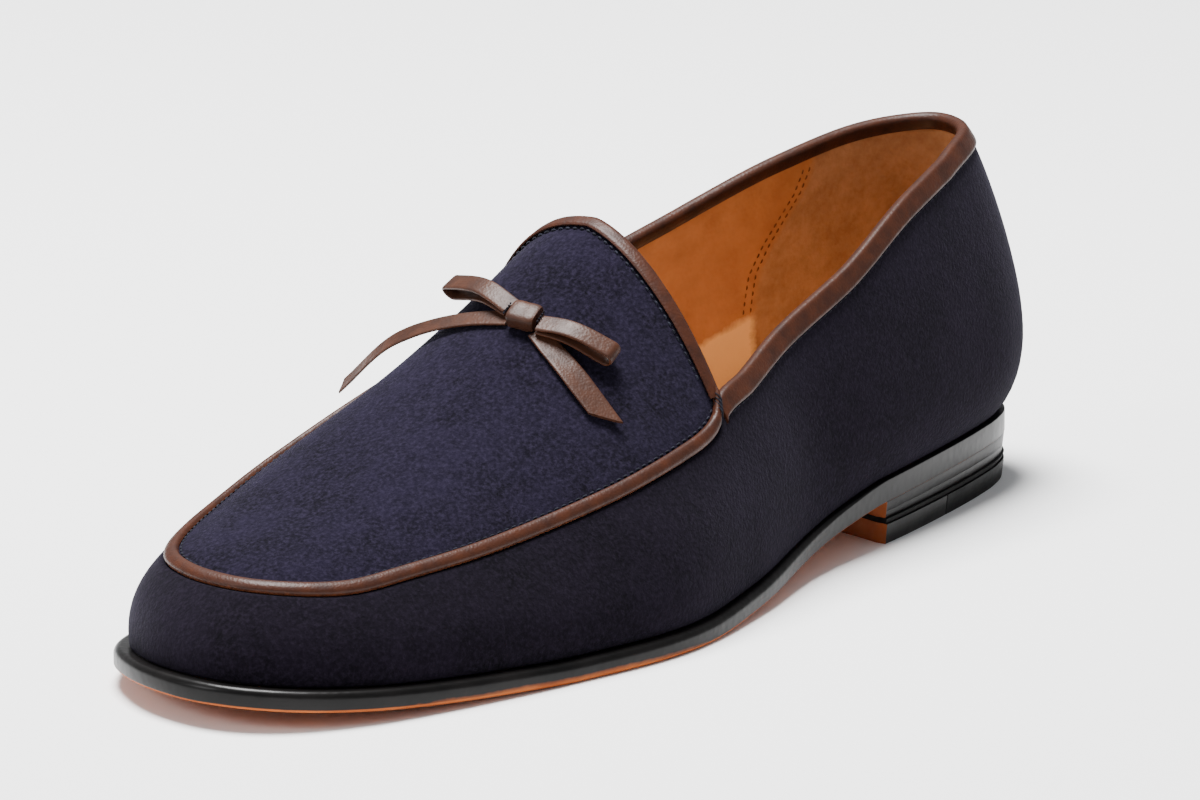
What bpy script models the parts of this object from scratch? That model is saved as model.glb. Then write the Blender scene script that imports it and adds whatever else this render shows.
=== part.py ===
"""One low slip-on shoe for the left foot, empty and standing on its sole.

X runs along the shoe to the toe, Y to the outer side of the foot and Z up from the floor.
All sizes are in metres.  The upper, sole, insole, heel, bindings and bow are worked out
from one form, the last: a feather line around the foot, a ridge over it and the rounded
sections between them.
"""
import math

import bmesh
import bpy
import numpy as np
from mathutils import Vector

PART = "belgian_loafer"

# Main sizes
LAST_LENGTH = 0.300
BALL_WIDTH = 0.100
INSTEP_HEIGHT = 0.091
COLLAR_HEIGHT = 0.0935
HEEL_HEIGHT = 0.0124
TOE_SPRING = 0.0058

# Walls and layers
UPPER_WALL = 0.0024
APRON_STEP = 0.0009
EDGE_SKIVE = 0.0005
SKIVE_DEPTH = 0.0052
SOLE_THICKNESS = 0.0052
SOLE_LEDGE = 0.0040
SOLE_ROUND = 0.0014
SOLE_BEVEL = 0.0010
INSOLE_THICKNESS = 0.0025
GAP = 0.0003

# Heel
HEEL_LENGTH = 0.0775
HEEL_INSET = 0.0003
HEEL_TAPER = 0.0005
BREAST_RADIUS = 0.144
TOP_LIFT = 0.0052
DARK_LIFT = 0.0012
RUBBER_LENGTH = 0.047
BREAST_TRIM = 0.010

# Throat and bindings
THROAT_BOW = 0.0026
THROAT_BOW_REACH = 0.018
COLLAR_BAND = 0.0044
THROAT_BAND = 0.0040
APRON_BAND = 0.0043
LEG_THICKNESS = 0.0007
RIM_THICKNESS = 0.0010
BEAD_HEIGHT = 0.0009
BAND_JOINT = 0.0006

# Bow
RIBBON_WIDTH = 0.0048
RIBBON_THICKNESS = 0.0009
LOOP_OUTER_LENGTH = 0.0158
LOOP_INNER_LENGTH = 0.0198
TAIL_OUTER_LENGTH = 0.0243
TAIL_INNER_LENGTH = 0.0363
KNOT_OFF_RIDGE = 0.0051
KNOT_LENGTH = 0.0072
KNOT_WIDTH = 0.0072
KNOT_HEIGHT = 0.0046
KNOT_SKEW = -0.0008
LOOP_SPREAD = 0.0023

# Short steps that directions are measured over
LEVEL_STEP = 0.0015
RUN_STEP = 0.0008
TURN_STEP = 0.012
RIDGE_STEP = 0.001

# Landmarks along the last: the throat's corner, the knot, and the two centres that the round
# ends of the form fan out from
CORNER_AT = 0.4843 * LAST_LENGTH
KNOT_AT = 0.584 * LAST_LENGTH
HEEL_CENTRE = 0.1133 * LAST_LENGTH
TOE_CENTRE = 0.850 * LAST_LENGTH

# Feather line, from the back round the outer side: share of the length, share of the ball width
FEATHER = (
    (0.005, -0.060), (0.012, 0.040), (0.030, 0.105), (0.057, 0.145), (0.100, 0.180),
    (0.160, 0.215), (0.233, 0.248), (0.367, 0.290), (0.483, 0.378), (0.603, 0.433),
    (0.723, 0.380), (0.867, 0.264), (0.917, 0.202), (0.960, 0.113), (0.983, 0.022),
    (0.992, -0.075), (0.988, -0.210), (0.973, -0.320), (0.947, -0.420), (0.900, -0.495),
    (0.750, -0.580), (0.583, -0.510), (0.417, -0.420), (0.250, -0.360), (0.167, -0.320),
    (0.100, -0.275), (0.047, -0.210), (0.013, -0.128),
)

# Underside of the sole: share of the length, share of the heel height, share of the toe spring
UNDERSIDE = (
    (0.000, 1.000, 0.00), (0.133, 0.968, 0.00), (0.257, 0.903, 0.00), (0.317, 0.726, 0.00),
    (0.400, 0.387, 0.00), (0.500, 0.113, 0.00), (0.583, 0.000, 0.00), (0.717, 0.000, 0.00),
    (0.783, 0.000, 0.12), (0.850, 0.000, 0.29), (0.933, 0.000, 0.62), (1.000, 0.000, 1.00),
)

# Sole edge: share of the length, share of the sole thickness, share of the ledge
SOLE_EDGE = (
    (0.000, 1.08, 0.38), (0.250, 1.08, 0.40), (0.367, 1.02, 0.45), (0.533, 1.00, 0.80),
    (0.667, 1.00, 0.95), (0.900, 1.00, 0.95), (1.000, 1.00, 1.00),
)

# Where heights stop following the collar and start to follow the instep: share of the length,
# share of the way from the collar height to the instep height
HEIGHT_RULE = ((0.000, 0.0), (0.300, 0.0), (0.500, 1.0), (1.000, 1.0))

# Ridge: share of the length, share of the ruling height, share of the ball width to the side
RIDGE = (
    (0.000, 1.119, -0.060), (0.133, 1.171, -0.060), (0.267, 1.102, -0.080),
    (0.367, 1.055, -0.110), (0.467, 0.997, -0.140), (0.567, 0.824, -0.145),
    (0.667, 0.659, -0.132), (0.767, 0.530, -0.125), (0.860, 0.434, -0.125),
    (1.000, 0.348, -0.134),
)

# Sections: share of the length, fullness outer and inner, swell outer and inner as a share of
# the ball width, and the swell's height as a share of the instep height
SECTIONS = (
    (0.000, 2.00, 3.00, 0.078, 0.071, 0.264),
    (0.133, 1.95, 2.95, 0.051, 0.051, 0.242),
    (0.267, 1.90, 2.90, 0.024, 0.080, 0.264),
    (0.400, 1.75, 2.70, 0.017, 0.100, 0.264),
    (0.600, 1.70, 2.80, 0.022, 0.035, 0.154),
    (0.700, 1.75, 2.90, 0.020, 0.020, 0.132),
    (0.800, 1.90, 3.00, 0.017, 0.006, 0.110),
    (1.000, 2.10, 3.10, 0.007, 0.003, 0.088),
)

# Top edge of quarters and vamp: share of the length, share of the ruling height outer and inner
TOP_EDGE = (
    (0.000, 0.985, 0.987), (0.077, 0.955, 0.963), (0.173, 0.876, 0.908), (0.290, 0.726, 0.802),
    (0.387, 0.643, 0.731), (0.440, 0.603, 0.689), (0.484, 0.570, 0.648), (0.495, 0.511, 0.616),
    (0.517, 0.477, 0.598), (0.550, 0.455, 0.584), (0.588, 0.434, 0.563), (0.647, 0.401, 0.514),
    (0.735, 0.358, 0.421), (0.823, 0.329, 0.354), (0.912, 0.310, 0.331), (1.000, 0.325, 0.329),
)

# Stations along the straight sides, as shares from the corner to the toe centre and from the
# corner to the heel centre, and the count of stations round the toe and round the heel
FRONT_STATIONS = (0.0, 0.03, 0.07, 0.12, 0.18, 0.26, 0.35, 0.45, 0.55, 0.65, 0.75, 0.84, 0.92, 1.0)
REAR_STATIONS = (0.08, 0.17, 0.27, 0.37, 0.47, 0.57, 0.67, 0.77, 0.87, 0.94, 1.0)
TOE_STATIONS = 22
HEEL_STATIONS = 12
WALL_ROWS = 7
APRON_ROWS = 7

# Bow, as shares of each ribbon's length: along the shoe from the knot, out from the knot's end,
# above the apron, or above the tail for a loop
LOOP_OUTER = ((0.013, 0.000, 0.000), (-0.114, 0.380, 0.025), (-0.348, 1.000, 0.000))
LOOP_INNER = ((-0.040, 0.000, 0.000), (-0.172, 0.455, 0.030), (-0.354, 1.000, 0.071))
TAIL_OUTER = ((0.049, 0.000, 0.004), (0.099, 0.165, 0.008), (0.156, 0.453, 0.016), (0.214, 1.000, 0.021))
TAIL_INNER = ((0.028, 0.000, 0.003), (0.074, 0.220, 0.006), (0.127, 0.468, 0.033),
              (0.174, 0.738, 0.127), (0.215, 1.000, 0.344))

# Leathers and suede: colour, roughness
COLOURS = {
    "navy_suede": ((0.018, 0.020, 0.050), 0.95),
    "brown_leather": ((0.085, 0.036, 0.018), 0.45),
    "tan_leather": ((0.560, 0.290, 0.120), 0.60),
    "black_edge": ((0.012, 0.011, 0.011), 0.30),
    "stacked_leather": ((0.030, 0.028, 0.028), 0.35),
    "natural_leather": ((0.450, 0.180, 0.070), 0.55),
    "rubber": ((0.010, 0.010, 0.010), 0.60),
}

OUTER, INNER = 1, -1
UPRIGHT = math.pi / 2


def smooth(rows, column, scale):
    """Give a smooth function of X through one column of a table, with no overshoot."""
    at = np.array([row[0] for row in rows]) * LAST_LENGTH
    value = np.array([row[column] for row in rows]) * scale
    step = np.diff(at)
    rise = np.diff(value) / step
    slope = np.zeros(len(at))
    for i in range(1, len(at) - 1):
        if rise[i - 1] * rise[i] > 0:
            before = 2 * step[i] + step[i - 1]
            after = step[i] + 2 * step[i - 1]
            slope[i] = (before + after) / (before / rise[i - 1] + after / rise[i])
    slope[0] = rise[0]
    slope[-1] = rise[-1]

    def value_at(x):
        x = np.clip(np.asarray(x, float), at[0], at[-1])
        i = np.clip(np.searchsorted(at, x, side="right") - 1, 0, len(at) - 2)
        t = (x - at[i]) / step[i]
        start = (2 * t**3 - 3 * t**2 + 1) * value[i] + (t**3 - 2 * t**2 + t) * step[i] * slope[i]
        end = (3 * t**2 - 2 * t**3) * value[i + 1] + (t**3 - t**2) * step[i] * slope[i + 1]
        return start + end

    return value_at


def closed_curve(points, steps=24):
    """Round a closed line of points off into a curve that passes through each of them."""
    points = np.array(points)
    count = len(points)
    curve = []
    for i in range(count):
        a, b, c, d = (points[(i + k) % count] for k in (-1, 0, 1, 2))
        ta = 0.0
        tb = ta + math.sqrt(np.linalg.norm(b - a))
        tc = tb + math.sqrt(np.linalg.norm(c - b))
        td = tc + math.sqrt(np.linalg.norm(d - c))
        for k in range(steps):
            t = tb + (tc - tb) * k / steps
            ab = ((tb - t) * a + (t - ta) * b) / (tb - ta)
            bc = ((tc - t) * b + (t - tb) * c) / (tc - tb)
            cd = ((td - t) * c + (t - tc) * d) / (td - tc)
            abc = ((tc - t) * ab + (t - ta) * bc) / (tc - ta)
            bcd = ((td - t) * bc + (t - tb) * cd) / (td - tb)
            curve.append(((tc - t) * abc + (t - tb) * bcd) / (tc - tb))
    return np.array(curve)


def unit(vectors):
    """Scale vectors to length one."""
    return vectors / np.maximum(np.linalg.norm(vectors, axis=-1, keepdims=True), 1e-12)


class Last:
    """The form under the upper, as a surface over a run round the foot and a turn up it."""

    def __init__(self):
        shares = np.array((LAST_LENGTH, BALL_WIDTH))
        self.line = closed_curve(np.array(FEATHER) * shares)
        ring = np.vstack([self.line, self.line[:1]])
        self.runs = np.concatenate([[0.0], np.cumsum(np.linalg.norm(np.diff(ring, axis=0), axis=1))])
        self.around = self.runs[-1]
        self.ring = ring
        self.tip = int(np.argmax(ring[:, 0]))
        self.underside = smooth(UNDERSIDE, 1, HEEL_HEIGHT)
        self.spring = smooth(UNDERSIDE, 2, TOE_SPRING)
        self.sole = smooth(SOLE_EDGE, 1, SOLE_THICKNESS)
        self.ledge = smooth(SOLE_EDGE, 2, SOLE_LEDGE)
        self.rule = smooth(HEIGHT_RULE, 1, 1.0)
        self.ridge_share = smooth(RIDGE, 1, 1.0)
        self.ridge_out = smooth(RIDGE, 2, BALL_WIDTH)
        self.fullness = (smooth(SECTIONS, 1, 1.0), smooth(SECTIONS, 2, 1.0))
        self.swell = (smooth(SECTIONS, 3, BALL_WIDTH), smooth(SECTIONS, 4, BALL_WIDTH))
        self.swell_height = smooth(SECTIONS, 5, INSTEP_HEIGHT)
        self.top_edge = (smooth(TOP_EDGE, 1, 1.0), smooth(TOP_EDGE, 2, 1.0))

    def ruling_height(self, x):
        """Give the height that the tables' shares stand for: collar behind, instep ahead."""
        return COLLAR_HEIGHT + (INSTEP_HEIGHT - COLLAR_HEIGHT) * self.rule(x)

    def ridge(self, x):
        """Give the height of the ridge above the floor."""
        return self.ridge_share(x) * self.ruling_height(x)

    def bottom(self, x):
        """Give the height of the sole's underside."""
        return self.underside(x) + self.spring(x)

    def seat(self, x):
        """Give the height of the sole's upper face, which the upper stands on."""
        return self.bottom(x) + self.sole(x)

    def feather(self, run):
        """Give the point of the feather line at a run, seen from above."""
        run = np.mod(run, self.around)
        return np.stack([np.interp(run, self.runs, self.ring[:, k]) for k in (0, 1)], -1)

    def outward(self, run):
        """Give the level direction that points out of the feather line."""
        along = unit(self.feather(run + LEVEL_STEP) - self.feather(run - LEVEL_STEP))
        return np.stack([-along[..., 1], along[..., 0]], -1)

    def run_at(self, x, side):
        """Give the run where the outer or inner side of the feather line has this X."""
        if side == OUTER:
            return np.interp(x, self.ring[:self.tip + 1, 0], self.runs[:self.tip + 1])
        return np.interp(x, self.ring[self.tip:, 0][::-1], self.runs[self.tip:][::-1])

    def centre(self, run):
        """Give the point below the ridge that the section at a run starts from."""
        x = np.clip(self.feather(run)[..., 0], HEEL_CENTRE, TOE_CENTRE)
        return np.stack([x, self.ridge_out(x)], -1)

    def outer_share(self, run):
        """Give 1 on the outer side, 0 on the inner side and values between round the ends."""
        return 0.5 * (1 + unit(self.feather(run) - self.centre(run))[..., 1])

    def mixed(self, pair, run):
        """Blend an outer and an inner table at a run."""
        share = self.outer_share(run)
        x = self.feather(run)[..., 0]
        return share * pair[0](x) + (1 - share) * pair[1](x)

    def surface(self, run, turn):
        """Give the point of the form at a run, from the feather line at turn 0 to the ridge."""
        foot = self.feather(run)
        centre = self.centre(run)
        reach = np.linalg.norm(foot - centre, axis=-1)
        way = unit(foot - centre)
        power = 2 / self.mixed(self.fullness, run)
        spread = np.maximum(np.cos(turn), 0.0) ** power
        rise = np.sin(turn) ** power
        flat = centre + way * (reach * spread)[..., None]
        low = self.seat(foot[..., 0])
        height = (self.ridge(flat[..., 0]) - low) * rise
        share = height / self.swell_height(foot[..., 0])
        swell = self.mixed(self.swell, run) * share * np.exp(1 - share) * spread
        flat = flat + way * swell[..., None]
        return np.concatenate([flat, (low + height)[..., None]], -1)

    def normal(self, run, turn):
        """Give the direction that points out of the form."""
        turn = np.clip(turn, 0.02, UPRIGHT - 0.05)
        along = self.surface(run + RUN_STEP, turn) - self.surface(run - RUN_STEP, turn)
        up = self.surface(run, turn + TURN_STEP) - self.surface(run, turn - TURN_STEP)
        return unit(np.cross(up, along))

    def ridge_point(self, x):
        """Give the point on the ridge above an X."""
        x = np.asarray(x, float)
        return np.stack([x, self.ridge_out(x), self.ridge(x)], -1)

    def ridge_normal(self, x):
        """Give the direction that points out of the form at its ridge."""
        slope = (self.ridge(x + RIDGE_STEP) - self.ridge(x - RIDGE_STEP)) / (2 * RIDGE_STEP)
        return unit(np.stack([-slope, 0 * slope, 1 + 0 * slope], -1))

    def offset(self, run, turn, out):
        """Give the point of the form moved outwards."""
        return self.surface(run, turn) + self.normal(run, turn) * np.asarray(out)[..., None]

    def column(self, run):
        """Give fine turns up one section, with their points and the lengths walked to them."""
        turns = np.linspace(0.0, UPRIGHT, 160)
        points = self.surface(np.full(160, run), turns)
        walked = np.concatenate([[0.0], np.cumsum(np.linalg.norm(np.diff(points, axis=0), axis=1))])
        return turns, points, walked

    def edge_turn(self, run, below=0.0):
        """Give the turn of the top edge of quarters and vamp, or of a length below it."""
        turns, points, walked = self.column(run)
        x = self.feather(run)[0]
        share = self.outer_share(run)
        height = share * self.top_edge[0](x) + (1 - share) * self.top_edge[1](x)
        height = height * self.ruling_height(x)
        heights = np.maximum.accumulate(points[:, 2])
        at_edge = np.interp(height, heights, walked)
        return float(np.interp(at_edge - below, walked, turns))

    def side_point(self, x, out):
        """Give the run and turn of the point of the form at an X and a Y."""
        side = OUTER if out > self.ridge_out(x) else INNER
        run = float(self.run_at(x, side))
        turns, points, _ = self.column(run)
        upper = turns > 0.5
        order = np.argsort(points[upper, 1])
        return run, float(np.interp(out, points[upper, 1][order], turns[upper][order]))


def stations(last):
    """List the runs round the foot, from the outer corner over the toe and back by the heel."""
    front = [CORNER_AT + (TOE_CENTRE - CORNER_AT) * share for share in FRONT_STATIONS]
    rear = [CORNER_AT + (HEEL_CENTRE - CORNER_AT) * share for share in REAR_STATIONS]
    outer_front = [float(last.run_at(x, OUTER)) for x in front]
    inner_front = [float(last.run_at(x, INNER)) for x in reversed(front)]
    toe = np.linspace(outer_front[-1], inner_front[0], TOE_STATIONS + 2)[1:-1]
    inner_rear = [float(last.run_at(x, INNER)) for x in rear]
    outer_rear = [float(last.run_at(x, OUTER)) for x in reversed(rear)]
    heel = np.linspace(inner_rear[-1], outer_rear[0] + last.around, HEEL_STATIONS + 2)[1:-1]
    heel = np.mod(heel, last.around)
    ahead = outer_front + list(toe) + inner_front
    behind = inner_rear + list(heel) + outer_rear
    return ahead, behind


def bow_back(x, share):
    """Move an X of the apron back, so that the throat's edge curves over the instep."""
    fade = np.clip(1 - (x - CORNER_AT) / THROAT_BOW_REACH, 0.0, 1.0)
    return x - THROAT_BOW * share**2 * fade


def new_object(name, points, faces, colour):
    """Make one closed mesh object with its own material."""
    mesh = bpy.data.meshes.new(name)
    mesh.from_pydata([tuple(map(float, point)) for point in points], [], faces)
    body = bmesh.new()
    body.from_mesh(mesh)
    bmesh.ops.recalc_face_normals(body, faces=body.faces)
    body.to_mesh(mesh)
    body.free()
    mesh.shade_smooth()
    mesh.set_sharp_from_angle(angle=math.radians(40))
    item = bpy.data.objects.new(name, mesh)
    item.data.materials.append(make_material(name, *COLOURS[colour]))
    bpy.data.collections[PART].objects.link(item)
    return item


def make_material(name, colour, roughness):
    """Make a plain Principled material."""
    material = bpy.data.materials.new(name)
    material.use_nodes = True
    shader = material.node_tree.nodes["Principled BSDF"]
    shader.inputs["Base Color"].default_value = (*colour, 1.0)
    shader.inputs["Roughness"].default_value = roughness
    return material


def clean(face):
    """Drop the corners of a face that name the same point twice in a row."""
    kept = [corner for k, corner in enumerate(face) if corner != face[k - 1]]
    return kept if len(kept) > 2 else None


def loft(rings, closed_ring=True, closed_run=False):
    """Join rings of points into a skin, and give its points and faces."""
    count = len(rings[0])
    points = np.vstack(rings)
    faces = []
    span = len(rings) if closed_run else len(rings) - 1
    for i in range(span):
        here = i * count
        there = ((i + 1) % len(rings)) * count
        for k in range(count if closed_ring else count - 1):
            after = (k + 1) % count
            faces.append((here + k, here + after, there + after, there + k))
    return points, faces


def plate_caps(front, count, ring):
    """List the faces that close one side of a plate, in strips from side to side."""
    behind = count - front
    ahead = [(ring[i], ring[front - 1 - i]) for i in range(front // 2)]
    rear = [(ring[count - 1 - i], ring[front + i]) for i in range(behind // 2)]
    strip = list(reversed(rear)) + ahead
    return [(a, b, d, c) for (a, b), (c, d) in zip(strip[:-1], strip[1:])]


def make_plate(last, name, rows, colour):
    """Make a plate that follows the sole: rows of inset from the feather line and height."""
    ahead, behind = stations(last)
    runs = np.array(ahead + behind)
    count = len(runs)
    foot = last.feather(runs)
    way = last.outward(runs)
    rings = []
    for inset, height in rows:
        flat = foot - way * inset(foot[:, 0])[:, None]
        rings.append(np.column_stack([flat, height(np.clip(flat[:, 0], 0, LAST_LENGTH))]))
    points, faces = loft(rings)
    low = list(range(count))
    high = list(range((len(rows) - 1) * count, len(rows) * count))
    caps = plate_caps(len(ahead), count, low) + plate_caps(len(ahead), count, high)
    return new_object(name, points, faces + caps, colour)


def make_outsole(last):
    """Make the leather sole: ledge, rounded top edge, bevelled bottom edge, arch and spring."""
    def edge(inset):
        return lambda x: inset - last.ledge(x)

    def above(height):
        return lambda x: last.bottom(x) + height

    def below(depth):
        return lambda x: last.seat(x) - depth

    middle = UPPER_WALL + SOLE_LEDGE
    rows = (
        (edge(SOLE_BEVEL), above(0.0)),
        (edge(SOLE_BEVEL * 0.35), above(SOLE_BEVEL * 0.35)),
        (edge(0.0), above(SOLE_BEVEL)),
        (edge(0.0), below(SOLE_ROUND)),
        (edge(SOLE_ROUND * 0.2), below(SOLE_ROUND * 0.35)),
        (edge(SOLE_ROUND * 0.8), below(0.0)),
        (edge(middle + SOLE_ROUND), below(0.0)),
    )
    return make_plate(last, "outsole", rows, "black_edge")


def make_insole(last):
    """Make the padded sock that lies on the sole inside the upper."""
    inset = UPPER_WALL + 3 * GAP

    def flat(extra):
        return lambda x: inset + extra + 0 * x

    def height(rise):
        return lambda x: last.seat(x) + GAP + rise

    rows = (
        (flat(0.0), height(0.0)),
        (flat(0.0), height(INSOLE_THICKNESS * 0.5)),
        (flat(INSOLE_THICKNESS * 0.35), height(INSOLE_THICKNESS)),
    )
    return make_plate(last, "insole", rows, "tan_leather")


def wall_columns(last, runs, skived):
    """Give the outer and inner points up the wall at each run, from sole to top edge."""
    outer, inner = [], []
    for run, thin in zip(runs, skived):
        high = last.edge_turn(run)
        low = last.edge_turn(run, SKIVE_DEPTH)
        turns = np.concatenate([np.linspace(0.0, low, WALL_ROWS), [high]])
        skive = np.zeros(len(turns))
        skive[-1] = EDGE_SKIVE if thin else 0.0
        along = np.full(len(turns), run)
        face = last.offset(along, turns, -skive)
        back = last.offset(along, turns, skive - UPPER_WALL)
        face[0, 2] = back[0, 2] = last.seat(last.feather(run)[0]) + GAP
        outer.append(face)
        inner.append(back)
    return np.array(outer), np.array(inner)


def apron_columns(last, ahead):
    """Give the outer and inner points of the apron, from the vamp's edge up to the ridge."""
    face, back = [], []
    count = len(ahead)
    straight = len(FRONT_STATIONS)
    for i, run in enumerate(ahead):
        share = np.linspace(0.0, 1.0, APRON_ROWS + 1)
        turns = last.edge_turn(run) + (UPRIGHT - last.edge_turn(run)) * share
        along = np.full(len(turns), run)
        if i < straight or i >= count - straight:
            side = OUTER if i < straight else INNER
            x = bow_back(last.feather(run)[0], share)
            along = last.run_at(x, side)
            ridge_x = x[-1]
        else:
            ridge_x = TOE_CENTRE
        outer = last.offset(along, turns, np.full(len(turns), -APRON_STEP))
        inner = last.offset(along, turns, np.full(len(turns), -UPPER_WALL))
        top = last.ridge_point(ridge_x)
        way = last.ridge_normal(ridge_x)
        outer[-1] = top - way * APRON_STEP
        inner[-1] = top - way * UPPER_WALL
        face.append(outer)
        back.append(inner)
    return np.array(face), np.array(back)


def make_upper(last):
    """Make quarters, vamp and apron as one wall, open at the collar and over the sole."""
    ahead, behind = stations(last)
    runs = ahead + behind
    count = len(runs)
    front = len(ahead)
    corners = (0, front - 1)
    skived = [i in corners or i >= front for i in range(count)]
    wall, lining = wall_columns(last, runs, skived)
    face, back = apron_columns(last, ahead)
    rows = WALL_ROWS + 1
    points = []
    index = {}

    def add(key, point):
        index[key] = len(points)
        points.append(point)

    for i in range(count):
        for r in range(rows):
            add(("wall", i, r), wall[i][r])
            add(("lining", i, r), lining[i][r])
    for i in range(front):
        twin = front - 1 - i
        pole = len(FRONT_STATIONS) - 1
        first = min(i, twin)
        for q in range(APRON_ROWS + 1):
            if q == 0:
                add(("face", i, q), face[i][q])
                index[("back", i, q)] = index[("lining", i, rows - 1)]
            elif q < APRON_ROWS:
                add(("face", i, q), face[i][q])
                add(("back", i, q), back[i][q])
            elif i == first and i <= pole:
                add(("face", i, q), face[i][q])
                add(("back", i, q), back[i][q])
            else:
                other = min(first, pole)
                index[("face", i, q)] = index[("face", other, q)]
                index[("back", i, q)] = index[("back", other, q)]

    faces = []

    def quad(*keys):
        face_corners = clean([index[key] for key in keys])
        if face_corners:
            faces.append(face_corners)

    for i in range(count):
        j = (i + 1) % count
        for r in range(rows - 1):
            for skin in ("wall", "lining"):
                quad((skin, i, r), (skin, j, r), (skin, j, r + 1), (skin, i, r + 1))
        quad(("wall", i, 0), ("wall", j, 0), ("lining", j, 0), ("lining", i, 0))
        top = rows - 1
        if i < front - 1:
            quad(("wall", i, top), ("wall", j, top), ("face", j, 0), ("face", i, 0))
            for q in range(APRON_ROWS):
                for skin in ("face", "back"):
                    quad((skin, i, q), (skin, j, q), (skin, j, q + 1), (skin, i, q + 1))
        else:
            rim = [("wall", i, top), ("wall", j, top)]
            if j == 0:
                rim.append(("face", 0, 0))
            rim += [("lining", j, top), ("lining", i, top)]
            if i == front - 1:
                rim.append(("face", i, 0))
            quad(*rim)
    for i in corners:
        for q in range(APRON_ROWS):
            quad(("face", i, q), ("face", i, q + 1), ("back", i, q + 1), ("back", i, q))
    return new_object("upper", points, faces, "navy_suede")


def rim_section(half, flare, band, clear):
    """Give a U-shaped section round an edge: offsets across the wall and up past the edge."""
    near = half + clear
    far = near + LEG_THICKNESS
    low = half + flare + clear
    top = GAP + RIM_THICKNESS
    return (
        (low + LEG_THICKNESS, -band), (far, -0.35 * band), (far * 0.86, 0.6 * top), (far * 0.35, top),
        (-far * 0.35, top), (-far * 0.86, 0.6 * top), (-far, -0.35 * band),
        (-low - LEG_THICKNESS, -band), (-low, -band), (-near, GAP), (near, GAP), (low, -band),
    )


def capped(rings, name, colour):
    """Make an object from a run of closed sections with a flat cap at each end."""
    points, faces = loft(rings)
    count = len(rings[0])
    faces.append(tuple(reversed(range(count))))
    faces.append(tuple(range(len(points) - count, len(points))))
    return new_object(name, points, faces, colour)


def make_collar_binding(last):
    """Make the leather band folded over the top edge of the quarters."""
    ahead, behind = stations(last)
    inner_end = float(last.run_at(CORNER_AT - BAND_JOINT, INNER))
    outer_end = float(last.run_at(CORNER_AT - BAND_JOINT, OUTER))
    runs = [inner_end] + behind + [outer_end]
    half = UPPER_WALL / 2 - EDGE_SKIVE
    flare = EDGE_SKIVE * COLLAR_BAND / SKIVE_DEPTH
    section = rim_section(half, flare, COLLAR_BAND, GAP)
    rings = []
    for run in runs:
        turns, _, walked = last.column(run)
        edge = np.interp(last.edge_turn(run), turns, walked)
        at = np.interp([edge + up for _, up in section], walked, turns)
        out = np.array([across for across, _ in section]) - UPPER_WALL / 2
        rings.append(last.offset(np.full(len(at), run), at, out))
    return capped(rings, "collar_binding", "brown_leather")


def make_apron_binding(last):
    """Make the piping that lies on the apron along the edge of the vamp."""
    ahead, _ = stations(last)
    start = float(last.run_at(CORNER_AT + GAP, OUTER))
    end = float(last.run_at(CORNER_AT + GAP, INNER))
    runs = [start] + ahead[1:-1] + [end]
    floor = GAP - APRON_STEP
    crown = BEAD_HEIGHT
    section = (
        (floor, GAP), (floor, 0.5 * APRON_BAND), (floor, APRON_BAND), (0.2 * floor, APRON_BAND + GAP),
        (0.75 * crown, 0.82 * APRON_BAND), (crown, 0.5 * APRON_BAND), (0.85 * crown, 0.25 * APRON_BAND),
        (0.3 * crown, GAP),
    )
    rings = []
    for run in runs:
        turns, _, walked = last.column(run)
        edge = np.interp(last.edge_turn(run), turns, walked)
        at = np.interp([edge + up for _, up in section], walked, turns)
        out = np.array([height for height, _ in section])
        rings.append(last.offset(np.full(len(at), run), at, out))
    return capped(rings, "apron_binding", "brown_leather")


def throat_line(last, steps=24):
    """Give points and normals along the apron's back edge, from the outer corner to the inner."""
    points, normals = [], []
    for side in (OUTER, INNER):
        run = float(last.run_at(CORNER_AT, side))
        low = last.edge_turn(run)
        share = np.linspace(0.0, 1.0, steps)
        x = bow_back(np.full(steps, CORNER_AT), share)
        turns = low + (UPRIGHT - low) * share
        runs = last.run_at(x, side)
        line = last.surface(runs, turns)
        way = last.normal(runs, turns)
        line[-1] = last.ridge_point(x[-1])
        way[-1] = last.ridge_normal(x[-1])
        points.append(line)
        normals.append(way)
    points = np.vstack([points[0], points[1][-2::-1]])
    normals = np.vstack([normals[0], normals[1][-2::-1]])
    return points, normals


def make_throat_binding(last, steps=26):
    """Make the leather band folded over the apron's free back edge."""
    points, normals = throat_line(last)
    walked = np.concatenate([[0.0], np.cumsum(np.linalg.norm(np.diff(points, axis=0), axis=1))])
    clear = APRON_BAND + 3 * GAP
    at = np.linspace(clear, walked[-1] - clear, steps)
    centre = np.stack([np.interp(at, walked, points[:, k]) for k in range(3)], -1)
    way = unit(np.stack([np.interp(at, walked, normals[:, k]) for k in range(3)], -1))
    along = unit(np.gradient(centre, axis=0))
    back = unit(np.cross(along, way))
    half = (UPPER_WALL - APRON_STEP) / 2
    middle = APRON_STEP + half
    section = rim_section(half, 0.0, THROAT_BAND, 2 * GAP)
    rings = []
    for k in range(steps):
        ring = [centre[k] + way[k] * (across - middle) + back[k] * behind for across, behind in section]
        rings.append(np.array(ring))
    return capped(rings, "throat_binding", "brown_leather")


def heel_outline(last, front, inset):
    """Give the heel's outline from its front corner on the outer side round to the inner one."""
    shares = np.linspace(0.0, 1.0, 6)
    sides = front + (min(HEEL_CENTRE, 0.75 * front) - front) * shares
    inner = [float(last.run_at(x, INNER)) for x in sides]
    outer = [float(last.run_at(x, OUTER)) + last.around for x in reversed(sides)]
    heel = list(np.linspace(inner[-1], outer[0], HEEL_STATIONS + 2)[1:-1])
    runs = np.array(inner + heel + outer)
    foot = last.feather(runs)
    reach = last.ledge(foot[:, 0]) - inset
    return foot + last.outward(runs) * reach[:, None]


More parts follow.
